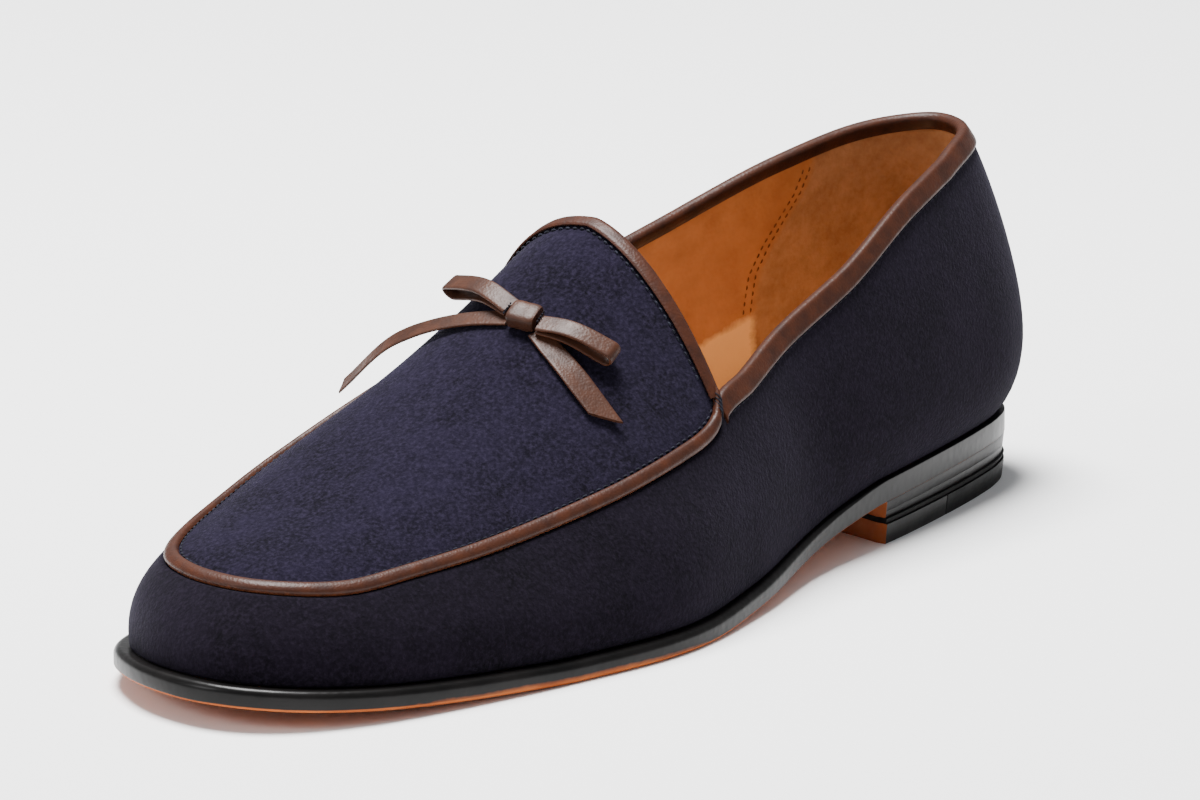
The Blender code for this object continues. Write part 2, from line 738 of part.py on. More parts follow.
def make_heel_layer(last, name, front, low, high, colour):
    """Make one layer of the heel between two heights, which may follow the sole."""
    rings = []
    levels = ((low, 1.0), (high, 0.0))
    for height, taper in levels:
        outline = heel_outline(last, front, HEEL_INSET + HEEL_TAPER * taper)
        rings.append(np.column_stack([outline, height(outline[:, 0])]))
    points, faces = loft(rings)
    count = len(rings[0])
    half = count // 2
    for base in (0, count):
        for i in range(half - 1):
            j = count - 1 - i
            faces.append(clean([base + i, base + i + 1, base + j - 1, base + j]))
    return new_object(name, points, [face for face in faces if face], colour)


def cut_breast(last, item):
    """Cut the heel's hollow front face with one large cylinder."""
    front = last.feather(float(last.run_at(HEEL_LENGTH, OUTER)))
    rear = last.feather(float(last.run_at(HEEL_LENGTH, INNER)))
    half = (front[1] - rear[1]) / 2
    reach = math.sqrt(BREAST_RADIUS**2 - half**2)
    body = bmesh.new()
    bmesh.ops.create_cone(body, cap_ends=True, segments=128, radius1=BREAST_RADIUS,
                          radius2=BREAST_RADIUS, depth=4 * HEEL_HEIGHT)
    mesh = bpy.data.meshes.new(item.name + "_cutter")
    body.to_mesh(mesh)
    body.free()
    cutter = bpy.data.objects.new(item.name + "_cutter", mesh)
    cutter.location = (HEEL_LENGTH + reach, (front[1] + rear[1]) / 2, 0.0)
    cutter.hide_render = True
    cutter.display_type = "WIRE"
    bpy.data.collections[PART + "_cutters"].objects.link(cutter)
    cut = item.modifiers.new("breast", "BOOLEAN")
    cut.operation = "DIFFERENCE"
    cut.solver = "EXACT"
    cut.object = cutter
    return cutter


def make_heel(last):
    """Make the heel: a stack of lifts, a thin dark lift and a top piece with a rubber corner."""
    def level(height):
        return lambda x: height + 0 * x

    def under_sole(x):
        return last.bottom(np.clip(x, 0, LAST_LENGTH)) - GAP

    ahead = HEEL_LENGTH + BREAST_TRIM
    dark_top = TOP_LIFT + GAP + DARK_LIFT
    stack = make_heel_layer(last, "heel_stack", ahead, level(dark_top + GAP), under_sole, "stacked_leather")
    dark = make_heel_layer(last, "heel_dark_lift", ahead, level(TOP_LIFT + GAP), level(dark_top), "rubber")
    rubber = make_heel_layer(last, "heel_rubber", RUBBER_LENGTH, level(0.0), level(TOP_LIFT), "rubber")
    top = make_top_piece(last, ahead)
    cutters = [cut_breast(last, item) for item in (stack, dark, top)]
    return [stack, dark, rubber, top], cutters


def make_top_piece(last, ahead):
    """Make the leather part of the heel's last layer, in front of the rubber."""
    rear = RUBBER_LENGTH + GAP
    sides = np.linspace(rear, ahead, 6)
    rings = []
    for height, taper in ((0.0, 1.0), (TOP_LIFT, 0.0)):
        ring = []
        for side, places in ((OUTER, sides), (INNER, sides[::-1])):
            runs = np.array([float(last.run_at(x, side)) for x in places])
            foot = last.feather(runs)
            reach = last.ledge(foot[:, 0]) - HEEL_INSET - HEEL_TAPER * taper
            flat = foot + last.outward(runs) * reach[:, None]
            flat[:, 0] = np.maximum(flat[:, 0], rear)
            ring.append(flat)
        outline = np.vstack(ring)
        rings.append(np.column_stack([outline, np.full(len(outline), height)]))
    points, faces = loft(rings)
    count = len(rings[0])
    for base in (0, count):
        for i in range(count // 2 - 1):
            j = count - 1 - i
            faces.append((base + i, base + i + 1, base + j - 1, base + j))
    return new_object("heel_top_piece", points, faces, "natural_leather")


def over_apron(last, along, out, lift):
    """Give a point above the apron and the apron's normal there, from lengths off the knot."""
    x = KNOT_AT + along
    middle = float(last.ridge_out(KNOT_AT)) + KNOT_OFF_RIDGE
    run, turn = last.side_point(x, middle + out)
    way = last.normal(np.array(run), np.array(turn))
    point = last.surface(np.array(run), np.array(turn)) + way * (GAP - APRON_STEP + lift)
    return point, way


def ribbon_path(last, side, shares, length, base, steps):
    """Give points and normals along a ribbon's middle line, through places over the apron."""
    end = KNOT_LENGTH / 2 + 3 * GAP
    places = [tuple(length * share for share in row) for row in shares]
    found = [over_apron(last, along, side * (end + out), base + lift) for along, out, lift in places]
    points = np.array([point for point, _ in found])
    ways = np.array([way for _, way in found])
    walked = np.concatenate([[0.0], np.cumsum(np.linalg.norm(np.diff(points, axis=0), axis=1))])
    at = np.linspace(0.0, walked[-1], steps)
    return rounded(at, walked, points), unit(rounded(at, walked, ways))


def rounded(at, walked, values):
    """Read a smooth curve through values placed along a walked length."""
    slope = np.gradient(values, walked, axis=0)
    i = np.clip(np.searchsorted(walked, at, side="right") - 1, 0, len(walked) - 2)
    step = (walked[i + 1] - walked[i])[:, None]
    t = ((at - walked[i]) / (walked[i + 1] - walked[i]))[:, None]
    start = (2 * t**3 - 3 * t**2 + 1) * values[i] + (t**3 - 2 * t**2 + t) * step * slope[i]
    end = (3 * t**2 - 2 * t**3) * values[i + 1] + (t**3 - t**2) * step * slope[i + 1]
    return start + end


def ribbon_ring(point, way, along, thickness, slant=0.0):
    """Give the section of a flat ribbon, lying on its point with rounded edges."""
    across = unit(np.cross(way, along))
    half = RIBBON_WIDTH / 2
    shape = (
        (-half, 0.25), (-0.9 * half, 0.0), (0.9 * half, 0.0), (half, 0.25),
        (half, 0.75), (0.9 * half, 1.0), (-0.9 * half, 1.0), (-half, 0.75),
    )
    ring = []
    for side, high in shape:
        ring.append(point + across * side + way * thickness * high + along * slant * side)
    return np.array(ring)


def make_tail(last, name, side, shares, length, slant, steps=14):
    """Make one free end of the bow, cut at a slant."""
    points, ways = ribbon_path(last, side, shares, length, 0.0, steps)
    along = unit(np.gradient(points, axis=0))
    rings = []
    for k in range(steps):
        cut = slant * max(0.0, (k - steps + 3) / 2)
        rings.append(ribbon_ring(points[k], ways[k], along[k], RIBBON_THICKNESS, cut))
    return capped(rings, name, "brown_leather")


def make_loop(last, name, side, shares, length, steps=9):
    """Make one loop of the bow: a ribbon that runs out, folds over and comes back on top."""
    points, ways = ribbon_path(last, side, shares, length, RIBBON_THICKNESS + GAP, steps)
    along = unit(np.gradient(points, axis=0))
    share = np.linspace(0.0, 1.0, steps)
    open_by = 2 * RIBBON_THICKNESS + GAP + LOOP_SPREAD * np.sin(share * math.pi * 0.5)
    lower = [(points[k], along[k], ways[k]) for k in range(steps)]
    upper = [(points[k] + ways[k] * open_by[k], -along[k], -ways[k]) for k in reversed(range(steps))]
    end, way, ahead = points[-1], ways[-1], along[-1]
    radius = open_by[-1] / 2
    fold = []
    for angle in (0.25, 0.5, 0.75):
        turn = math.pi * angle
        place = end + way * radius * (1 - math.cos(turn)) + ahead * radius * math.sin(turn)
        heading = ahead * math.cos(turn) + way * math.sin(turn)
        normal = way * math.cos(turn) - ahead * math.sin(turn)
        fold.append((place, heading, normal))
    rings = []
    for place, heading, normal in lower + fold + upper:
        rings.append(ribbon_ring(place, normal, heading, RIBBON_THICKNESS))
    return capped(rings, name, "brown_leather")


def make_knot(last):
    """Make the short band wrapped round the middle of the bow."""
    point, way = over_apron(last, 0.0, 0.0, 0.0)
    side, _ = over_apron(last, KNOT_SKEW, KNOT_LENGTH / 2, 0.0)
    along = unit(side - point)
    along = unit(along - way * float(along @ way))
    across = np.cross(way, along)
    rings = []
    for end, size in ((-0.5, 0.88), (-0.42, 1.0), (0.42, 1.0), (0.5, 0.88)):
        ring = []
        for angle in np.linspace(0, 2 * math.pi, 20, endpoint=False):
            wide = KNOT_WIDTH / 2 * size * signed_root(math.cos(angle))
            tall = KNOT_HEIGHT / 2 * (1 + size * signed_root(math.sin(angle)))
            ring.append(point + across * wide + way * tall + along * end * KNOT_LENGTH)
        rings.append(np.array(ring))
    return capped(rings, "bow_knot", "brown_leather")


def signed_root(value):
    """Give a root that keeps its sign, which squares a round section off."""
    return math.copysign(math.sqrt(abs(value)), value)


def make_bow(last):
    """Make the ribbon bow: knot, two loops and two tails."""
    make_knot(last)
    make_loop(last, "bow_loop_outer", OUTER, LOOP_OUTER, LOOP_OUTER_LENGTH)
    make_loop(last, "bow_loop_inner", INNER, LOOP_INNER, LOOP_INNER_LENGTH)
    make_tail(last, "bow_tail_outer", OUTER, TAIL_OUTER, TAIL_OUTER_LENGTH, -0.45)
    make_tail(last, "bow_tail_inner", INNER, TAIL_INNER, TAIL_INNER_LENGTH, 0.35)


def centre_on_origin():
    """Move all pieces and cutters so that the shoe's box is centred over the origin."""
    corners = []
    for item in bpy.data.collections[PART].objects:
        for corner in item.data.vertices:
            corners.append(item.matrix_world @ corner.co)
    low = [min(corner[k] for corner in corners) for k in (0, 1)]
    high = [max(corner[k] for corner in corners) for k in (0, 1)]
    move = Vector((-(low[0] + high[0]) / 2, -(low[1] + high[1]) / 2, 0.0))
    for name in (PART, PART + "_cutters"):
        for item in bpy.data.collections[name].objects:
            item.location = item.location + move


def main():
    """Build the whole shoe in an empty scene."""
    for item in list(bpy.data.objects):
        bpy.data.objects.remove(item)
    for name in (PART, PART + "_cutters"):
        bpy.context.scene.collection.children.link(bpy.data.collections.new(name))
    last = Last()
    make_upper(last)
    make_outsole(last)
    make_insole(last)
    make_heel(last)
    make_collar_binding(last)
    make_apron_binding(last)
    make_throat_binding(last)
    make_bow(last)
    centre_on_origin()


main()
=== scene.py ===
# %% [markdown]
# # A suede slip-on shoe with a ribbon bow
# The imported model is the fixed frame: a left shoe that stands on its sole, with X to the toe, Y
# to the outer side and Z up. It has the right form, but plain faceted pieces. This lesson puts
# finer pieces over it, and gives each one the finish of the real leather, suede, thread or
# rubber. The frame is loaded first, and its box is kept.

# %% Load the frame
import math

import bmesh
import bpy
import numpy as np
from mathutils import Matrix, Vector


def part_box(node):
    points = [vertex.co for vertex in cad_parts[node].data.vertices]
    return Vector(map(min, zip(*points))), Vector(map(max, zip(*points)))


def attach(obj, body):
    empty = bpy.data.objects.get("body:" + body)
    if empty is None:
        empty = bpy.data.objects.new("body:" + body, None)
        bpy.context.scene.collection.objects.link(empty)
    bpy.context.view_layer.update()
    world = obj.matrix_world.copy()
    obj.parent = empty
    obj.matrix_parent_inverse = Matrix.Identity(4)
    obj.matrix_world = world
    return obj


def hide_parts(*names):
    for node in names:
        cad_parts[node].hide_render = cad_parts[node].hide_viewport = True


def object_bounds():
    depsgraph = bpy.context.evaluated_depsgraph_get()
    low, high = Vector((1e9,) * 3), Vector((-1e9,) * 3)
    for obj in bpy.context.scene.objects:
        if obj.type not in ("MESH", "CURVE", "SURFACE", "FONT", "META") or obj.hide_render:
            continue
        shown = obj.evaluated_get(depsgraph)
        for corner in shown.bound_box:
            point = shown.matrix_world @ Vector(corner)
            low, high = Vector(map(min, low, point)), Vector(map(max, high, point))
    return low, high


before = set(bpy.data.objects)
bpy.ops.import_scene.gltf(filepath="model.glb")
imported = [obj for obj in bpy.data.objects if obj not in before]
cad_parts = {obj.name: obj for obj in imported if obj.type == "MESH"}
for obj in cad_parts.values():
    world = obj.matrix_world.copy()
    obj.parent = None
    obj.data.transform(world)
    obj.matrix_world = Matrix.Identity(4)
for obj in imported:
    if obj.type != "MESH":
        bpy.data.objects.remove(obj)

CAD_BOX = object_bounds()
print("the frame's pieces:", ", ".join(sorted(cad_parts)))

# %% [markdown]
# ## The last
# A shoe is built over a last, a solid form of a foot. Every piece of leather here lies on it or a
# known distance from it, so one class that gives the last's surface serves for all of them. It
# could be sculpted, but a form worked out from a few named sizes and short tables stays true when
# the pieces are made finer. The tables hold shares of those sizes, with a row for each section.

# %% Main sizes, in metres
LAST_LENGTH = 0.300
BALL_WIDTH = 0.100
INSTEP_HEIGHT = 0.091
COLLAR_HEIGHT = 0.0935
HEEL_HEIGHT = 0.0124
TOE_SPRING = 0.0058
UPPER_WALL = 0.0024
APRON_STEP = 0.0009
EDGE_SKIVE = 0.0005
SKIVE_DEPTH = 0.0052
SOLE_THICKNESS = 0.0052
SOLE_LEDGE = 0.0040
GAP = 0.0003
CORNER_AT = 0.4843 * LAST_LENGTH
HEEL_CENTRE = 0.1133 * LAST_LENGTH
TOE_CENTRE = 0.850 * LAST_LENGTH
OUTER, INNER = 1, -1
UPRIGHT = math.pi / 2
print(f"the last is {LAST_LENGTH * 1000:.0f} mm long, its ball {BALL_WIDTH * 1000:.0f} mm wide")

# %% Tables of the last
# Feather line from the back round the outer side: share of the length, share of the ball width
FEATHER = (
    (0.005, -0.060), (0.012, 0.040), (0.030, 0.105), (0.057, 0.145), (0.100, 0.180),
    (0.160, 0.215), (0.233, 0.248), (0.367, 0.290), (0.483, 0.378), (0.603, 0.433),
    (0.723, 0.380), (0.867, 0.264), (0.917, 0.202), (0.960, 0.113), (0.983, 0.022),
    (0.992, -0.075), (0.988, -0.210), (0.973, -0.320), (0.947, -0.420), (0.900, -0.495),
    (0.750, -0.580), (0.583, -0.510), (0.417, -0.420), (0.250, -0.360), (0.167, -0.320),
    (0.100, -0.275), (0.047, -0.210), (0.013, -0.128),
)
# Underside of the sole: share of the length, share of the heel height, share of the toe spring
UNDERSIDE = (
    (0.000, 1.000, 0.00), (0.133, 0.968, 0.00), (0.257, 0.903, 0.00), (0.317, 0.726, 0.00),
    (0.400, 0.387, 0.00), (0.500, 0.113, 0.00), (0.583, 0.000, 0.00), (0.717, 0.000, 0.00),
    (0.783, 0.000, 0.12), (0.850, 0.000, 0.29), (0.933, 0.000, 0.62), (1.000, 0.000, 1.00),
)
# Sole edge: share of the length, share of the sole thickness, share of the ledge
SOLE_EDGE = (
    (0.000, 1.08, 0.38), (0.250, 1.08, 0.40), (0.367, 1.02, 0.45), (0.533, 1.00, 0.80),
    (0.667, 1.00, 0.95), (0.900, 1.00, 0.95), (1.000, 1.00, 1.00),
)
# Where heights stop following the collar and start to follow the instep
HEIGHT_RULE = ((0.000, 0.0), (0.300, 0.0), (0.500, 1.0), (1.000, 1.0))
# Ridge: share of the length, share of the ruling height, share of the ball width to the side
RIDGE = (
    (0.000, 1.119, -0.060), (0.133, 1.171, -0.060), (0.267, 1.102, -0.080),
    (0.367, 1.055, -0.110), (0.467, 0.997, -0.140), (0.567, 0.824, -0.145),
    (0.667, 0.659, -0.132), (0.767, 0.530, -0.125), (0.860, 0.434, -0.125),
    (1.000, 0.348, -0.134),
)
# Sections: share of the length, fullness outer and inner, swell outer and inner as a share of
# the ball width, and the swell's height as a share of the instep height
SECTIONS = (
    (0.000, 2.00, 3.00, 0.078, 0.071, 0.264), (0.133, 1.95, 2.95, 0.051, 0.051, 0.242),
    (0.267, 1.90, 2.90, 0.024, 0.080, 0.264), (0.400, 1.75, 2.70, 0.017, 0.100, 0.264),
    (0.600, 1.70, 2.80, 0.022, 0.035, 0.154), (0.700, 1.75, 2.90, 0.020, 0.020, 0.132),
    (0.800, 1.90, 3.00, 0.017, 0.006, 0.110), (1.000, 2.10, 3.10, 0.007, 0.003, 0.088),
)
# Top edge of quarters and vamp: share of the length, share of the ruling height outer and inner
TOP_EDGE = (
    (0.000, 0.985, 0.987), (0.077, 0.955, 0.963), (0.173, 0.884, 0.908), (0.290, 0.741, 0.802),
    (0.387, 0.651, 0.731), (0.440, 0.603, 0.689), (0.484, 0.570, 0.648), (0.495, 0.511, 0.616),
    (0.517, 0.477, 0.598), (0.550, 0.455, 0.584), (0.588, 0.434, 0.563), (0.647, 0.401, 0.514),
    (0.735, 0.358, 0.421), (0.823, 0.329, 0.354), (0.912, 0.310, 0.331), (1.000, 0.325, 0.329),
)
print(len(FEATHER), "feather points,", len(SECTIONS), "sections,", len(TOP_EDGE), "top edge rows")

# %% Smooth functions through a table
def between(value, slope, i, step, t):
    """Give the smooth curve's value at a share t of the way from row i to the next."""
    start = (2 * t**3 - 3 * t**2 + 1) * value[i] + (t**3 - 2 * t**2 + t) * step * slope[i]
    end = (3 * t**2 - 2 * t**3) * value[i + 1] + (t**3 - t**2) * step * slope[i + 1]
    return start + end


def smooth(rows, column, scale):
    """Give a smooth function of X through one column of a table, with no overshoot."""
    at = np.array([row[0] for row in rows]) * LAST_LENGTH
    value = np.array([row[column] for row in rows]) * scale
    step = np.diff(at)
    rise = np.diff(value) / step
    slope = np.zeros(len(at))
    for i in range(1, len(at) - 1):
        if rise[i - 1] * rise[i] > 0:
            before = 2 * step[i] + step[i - 1]
            after = step[i] + 2 * step[i - 1]
            slope[i] = (before + after) / (before / rise[i - 1] + after / rise[i])
    slope[0] = rise[0]
    slope[-1] = rise[-1]

    def value_at(x):
        x = np.clip(np.asarray(x, float), at[0], at[-1])
        i = np.clip(np.searchsorted(at, x, side="right") - 1, 0, len(at) - 2)
        return between(value, slope, i, step[i], (x - at[i]) / step[i])

    return value_at


def closed_curve(points, steps=24):
    """Round a closed line of points off into a curve that passes through each of them."""
    points = np.array(points)
    count = len(points)
    curve = []
    for i in range(count):
        a, b, c, d = (points[(i + k) % count] for k in (-1, 0, 1, 2))
        ta = 0.0
        tb = ta + math.sqrt(np.linalg.norm(b - a))
        tc = tb + math.sqrt(np.linalg.norm(c - b))
        td = tc + math.sqrt(np.linalg.norm(d - c))
        for k in range(steps):
            t = tb + (tc - tb) * k / steps
            ab = ((tb - t) * a + (t - ta) * b) / (tb - ta)
            bc = ((tc - t) * b + (t - tb) * c) / (tc - tb)
            cd = ((td - t) * c + (t - tc) * d) / (td - tc)
            abc = ((tc - t) * ab + (t - ta) * bc) / (tc - ta)
            bcd = ((td - t) * bc + (t - tb) * cd) / (td - tb)
            curve.append(((tc - t) * abc + (t - tb) * bcd) / (tc - tb))
    return np.array(curve)


def unit(vectors):
    """Scale vectors to length one."""
    return vectors / np.maximum(np.linalg.norm(vectors, axis=-1, keepdims=True), 1e-12)


def lengths_along(points):
    """Give the length walked to each point of a line."""
    steps = np.linalg.norm(np.diff(points, axis=0), axis=1)
    return np.concatenate([[0.0], np.cumsum(steps)])


print(f"half way up the height rule: {smooth(HEIGHT_RULE, 1, 1.0)(0.4 * LAST_LENGTH):.2f}")

# %% Plan and heights of the last
LEVEL_STEP = 0.0015


class Plan:
    """The feather line seen from above, and what the tables say over each of its points."""

    def __init__(self):
        line = closed_curve(np.array(FEATHER) * np.array((LAST_LENGTH, BALL_WIDTH)))
        self.ring = np.vstack([line, line[:1]])
        self.runs = lengths_along(self.ring)
        self.around = self.runs[-1]
        self.columns = {}
        self.tip = int(np.argmax(self.ring[:, 0]))
        self.underside = smooth(UNDERSIDE, 1, HEEL_HEIGHT)
        self.spring = smooth(UNDERSIDE, 2, TOE_SPRING)
        self.sole = smooth(SOLE_EDGE, 1, SOLE_THICKNESS)
        self.ledge = smooth(SOLE_EDGE, 2, SOLE_LEDGE)
        self.rule = smooth(HEIGHT_RULE, 1, 1.0)
        self.ridge_share = smooth(RIDGE, 1, 1.0)
        self.ridge_out = smooth(RIDGE, 2, BALL_WIDTH)
        self.fullness = (smooth(SECTIONS, 1, 1.0), smooth(SECTIONS, 2, 1.0))
        self.swell = (smooth(SECTIONS, 3, BALL_WIDTH), smooth(SECTIONS, 4, BALL_WIDTH))
        self.swell_height = smooth(SECTIONS, 5, INSTEP_HEIGHT)
        self.top_edge = (smooth(TOP_EDGE, 1, 1.0), smooth(TOP_EDGE, 2, 1.0))

    def ruling_height(self, x):
        """Give the height that the tables' shares stand for: collar behind, instep ahead."""
        return COLLAR_HEIGHT + (INSTEP_HEIGHT - COLLAR_HEIGHT) * self.rule(x)

    def ridge(self, x):
        """Give the height of the ridge above the floor."""
        return self.ridge_share(x) * self.ruling_height(x)

    def bottom(self, x):
        """Give the height of the sole's underside."""
        return self.underside(x) + self.spring(x)

    def seat(self, x):
        """Give the height of the sole's upper face, which the upper stands on."""
        return self.bottom(x) + self.sole(x)

    def feather(self, run):
        """Give the point of the feather line at a run, seen from above."""
        run = np.mod(run, self.around)
        return np.stack([np.interp(run, self.runs, self.ring[:, k]) for k in (0, 1)], -1)

    def outward(self, run, reach=LEVEL_STEP):
        """Give the level direction that points out of the feather line."""
        along = unit(self.feather(run + reach) - self.feather(run - reach))
        return np.stack([-along[..., 1], along[..., 0]], -1)

    def run_at(self, x, side):
        """Give the run where the outer or inner side of the feather line has this X."""
        if side == OUTER:
            return np.interp(x, self.ring[:self.tip + 1, 0], self.runs[:self.tip + 1])
        return np.interp(x, self.ring[self.tip:, 0][::-1], self.runs[self.tip:][::-1])

    def centre(self, run):
        """Give the point below the ridge that the section at a run starts from."""
        x = np.clip(self.feather(run)[..., 0], HEEL_CENTRE, TOE_CENTRE)
        return np.stack([x, self.ridge_out(x)], -1)

    def outer_share(self, run):
        """Give 1 on the outer side, 0 on the inner side and values between round the ends."""
        return 0.5 * (1 + unit(self.feather(run) - self.centre(run))[..., 1])

    def mixed(self, pair, run):
        """Blend an outer and an inner table at a run."""
        share = self.outer_share(run)
        x = self.feather(run)[..., 0]
        return share * pair[0](x) + (1 - share) * pair[1](x)


print(f"the feather line is {Plan().around * 1000:.0f} mm long")

# %% The form itself
# Small steps that slopes are taken over, and the turns that a normal is kept between
RUN_STEP = 0.0008
TURN_STEP = 0.012
RIDGE_STEP = 0.001
LOWEST_TURN, HIGHEST_TURN = 0.02, UPRIGHT - 0.05
SIDE_TURN = 0.5
COLUMN_TURNS = 160


class Last(Plan):
    """The form under the upper, as a surface over a run round the foot and a turn up it."""

    def surface(self, run, turn):
        """Give the point of the form at a run, from the feather line at turn 0 to the ridge."""
        foot = self.feather(run)
        centre = self.centre(run)
        reach = np.linalg.norm(foot - centre, axis=-1)
        way = unit(foot - centre)
        power = 2 / self.mixed(self.fullness, run)
        spread = np.maximum(np.cos(turn), 0.0) ** power
        rise = np.sin(turn) ** power
        flat = centre + way * (reach * spread)[..., None]
        low = self.seat(foot[..., 0])
        height = (self.ridge(flat[..., 0]) - low) * rise
        share = height / self.swell_height(foot[..., 0])
        swell = self.mixed(self.swell, run) * share * np.exp(1 - share) * spread
        flat = flat + way * swell[..., None]
        return np.concatenate([flat, (low + height)[..., None]], -1)

    def normal(self, run, turn):
        """Give the direction that points out of the form."""
        turn = np.clip(turn, LOWEST_TURN, HIGHEST_TURN)
        along = self.surface(run + RUN_STEP, turn) - self.surface(run - RUN_STEP, turn)
        up = self.surface(run, turn + TURN_STEP) - self.surface(run, turn - TURN_STEP)
        return unit(np.cross(up, along))

    def ridge_point(self, x):
        """Give the point on the ridge above an X."""
        x = np.asarray(x, float)
        return np.stack([x, self.ridge_out(x), self.ridge(x)], -1)

    def ridge_normal(self, x):
        """Give the direction that points out of the form at its ridge."""
        slope = (self.ridge(x + RIDGE_STEP) - self.ridge(x - RIDGE_STEP)) / (2 * RIDGE_STEP)
        return unit(np.stack([-slope, 0 * slope, 1 + 0 * slope], -1))

    def offset(self, run, turn, out):
        """Give the point of the form moved outwards."""
        return self.surface(run, turn) + self.normal(run, turn) * np.asarray(out)[..., None]

    def column(self, run):
        """Give fine turns up one section, with their points and the lengths walked to them."""
        if run not in self.columns:
            turns = np.linspace(0.0, UPRIGHT, COLUMN_TURNS)
            points = self.surface(np.full(COLUMN_TURNS, run), turns)
            self.columns[run] = turns, points, lengths_along(points)
        return self.columns[run]

    def edge_turn(self, run, below=0.0):
        """Give the turn of the top edge of quarters and vamp, or of a length below it."""
        turns, points, walked = self.column(run)
        x = self.feather(run)[0]
        share = self.outer_share(run)
        height = share * self.top_edge[0](x) + (1 - share) * self.top_edge[1](x)
        heights = np.maximum.accumulate(points[:, 2])
        at_edge = np.interp(height * self.ruling_height(x), heights, walked)
        return float(np.interp(at_edge - below, walked, turns))

    def edge_length(self, run):
        """Give a section's turns, the lengths walked to them, and the length to the top edge."""
        turns, _, walked = self.column(run)
        return turns, walked, np.interp(self.edge_turn(run), turns, walked)

    def place(self, run, up, out):
        """Give points at lengths up past the top edge and out of the form, in one section."""
        turns, walked, edge = self.edge_length(run)
        at = np.interp(edge + np.asarray(up, float), walked, turns)
        return self.offset(np.full(len(at), run), at, np.asarray(out, float))

    def side_point(self, x, out):
        """Give the run and turn of the point of the form at an X and a Y."""
        side = OUTER if out > self.ridge_out(x) else INNER
        run = float(self.run_at(x, side))
        turns, points, _ = self.column(run)
        upper = turns > SIDE_TURN
        order = np.argsort(points[upper, 1])
        return run, float(np.interp(out, points[upper, 1][order], turns[upper][order]))


last = Last()
highest = last.place(0.0, [0.0], [0.0])[0, 2]
print(f"the top edge stands {highest * 1000:.1f} mm above the floor at the back")

# %% [markdown]
# ## From the last to the frame
# The tables place the heel at X = 0, and the frame is centred. The move between them is read from
# the outsole: its own edge is worked out here and set against the frame's box of the same node.

# %% The move into the frame
def sole_edge(runs):
    """Give the outline of the sole's edge at runs round the foot."""
    foot = last.feather(runs)
    return foot + last.outward(runs) * last.ledge(foot[:, 0])[:, None]


edge_line = sole_edge(np.linspace(0, last.around, 1500))
sole_low, sole_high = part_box("outsole")
MOVE = np.array([sole_high.x - edge_line[:, 0].max(), sole_high.y - edge_line[:, 1].max(), 0.0])
misfit = sole_low.x - edge_line[:, 0].min() - MOVE[0]
print("move, mm:", np.round(MOVE * 1000, 2), f"misfit at the heel {misfit * 1000:.2f}")

# %% [markdown]
# ## Helpers for meshes
# Almost every piece is a loft: rings of points joined into a skin. Blender could sweep curves
# with a bevel, but a loft keeps each ring exactly on the last. One helper joins the rings, one
# gathers small parts into a piece, and one makes the object: smooth, with its materials, on the
# shoe's one body.

# %% Lofts


def loft(rings, closed_ring=True, caps=False):
    """Join rings of points into a skin, and give its points and faces."""
    count = len(rings[0])
    points = np.vstack(rings)
    faces = []
    for i in range(len(rings) - 1):
        here = i * count
        for k in range(count if closed_ring else count - 1):
            after = (k + 1) % count
            faces.append((here + k, here + after, here + count + after, here + count + k))
    if caps:
        faces.append(tuple(reversed(range(count))))
        faces.append(tuple(range(len(points) - count, len(points))))
    return points, faces


def gather(parts):
    """Join the points and faces of several parts into those of one piece."""
    points, faces, start = [], [], 0
    for some, corners in parts:
        points.append(some)
        faces += [tuple(corner + start for corner in face) for face in corners]
        start += len(some)
    return np.vstack(points), faces


print("lofts join rings, and gather joins parts")

# %% Objects
BODY = "root"
SHARP_ANGLE = math.radians(42)
MERGE_REACH = 1e-6


def make_piece(name, points, faces, materials, slot, stands_for=(), indices=None, paints=None,
               merge=False):
    """Make one piece of the shoe from points in the last's own place, with its painted values."""
    mesh = bpy.data.meshes.new(name)
    mesh.from_pydata((np.asarray(points) + MOVE).tolist(), [], faces)
    for material in materials:
        mesh.materials.append(material)
    if indices is not None:
        mesh.polygons.foreach_set("material_index", np.asarray(indices, np.int32))
    for label, values in (paints or {}).items():
        layer = mesh.attributes.new(label, "FLOAT", "POINT")
        layer.data.foreach_set("value", np.broadcast_to(np.float32(values), len(points)).copy())
    body = bmesh.new()
    body.from_mesh(mesh)
    if merge:
        bmesh.ops.remove_doubles(body, verts=body.verts, dist=MERGE_REACH)
    bmesh.ops.recalc_face_normals(body, faces=body.faces)
    body.to_mesh(mesh)
    body.free()
    mesh.shade_smooth()
    mesh.set_sharp_from_angle(angle=SHARP_ANGLE)
    piece = bpy.data.objects.new(name, mesh)
    bpy.context.scene.collection.objects.link(piece)
    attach(piece, BODY)
    if stands_for:
        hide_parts(*stands_for)
    print(f"{name}: {len(mesh.vertices)} points, {len(mesh.polygons)} faces")
    return piece


print("pieces ride on", BODY, "and turn sharp past", round(math.degrees(SHARP_ANGLE)), "degrees")

# %% [markdown]
# ## Stations
# The pieces share one way of going round the shoe: from the throat's outer corner along the vamp,
# round the toe, back to the inner corner, and then round the heel. The same X serves both sides,
# so that pieces which span the shoe can be joined straight across.

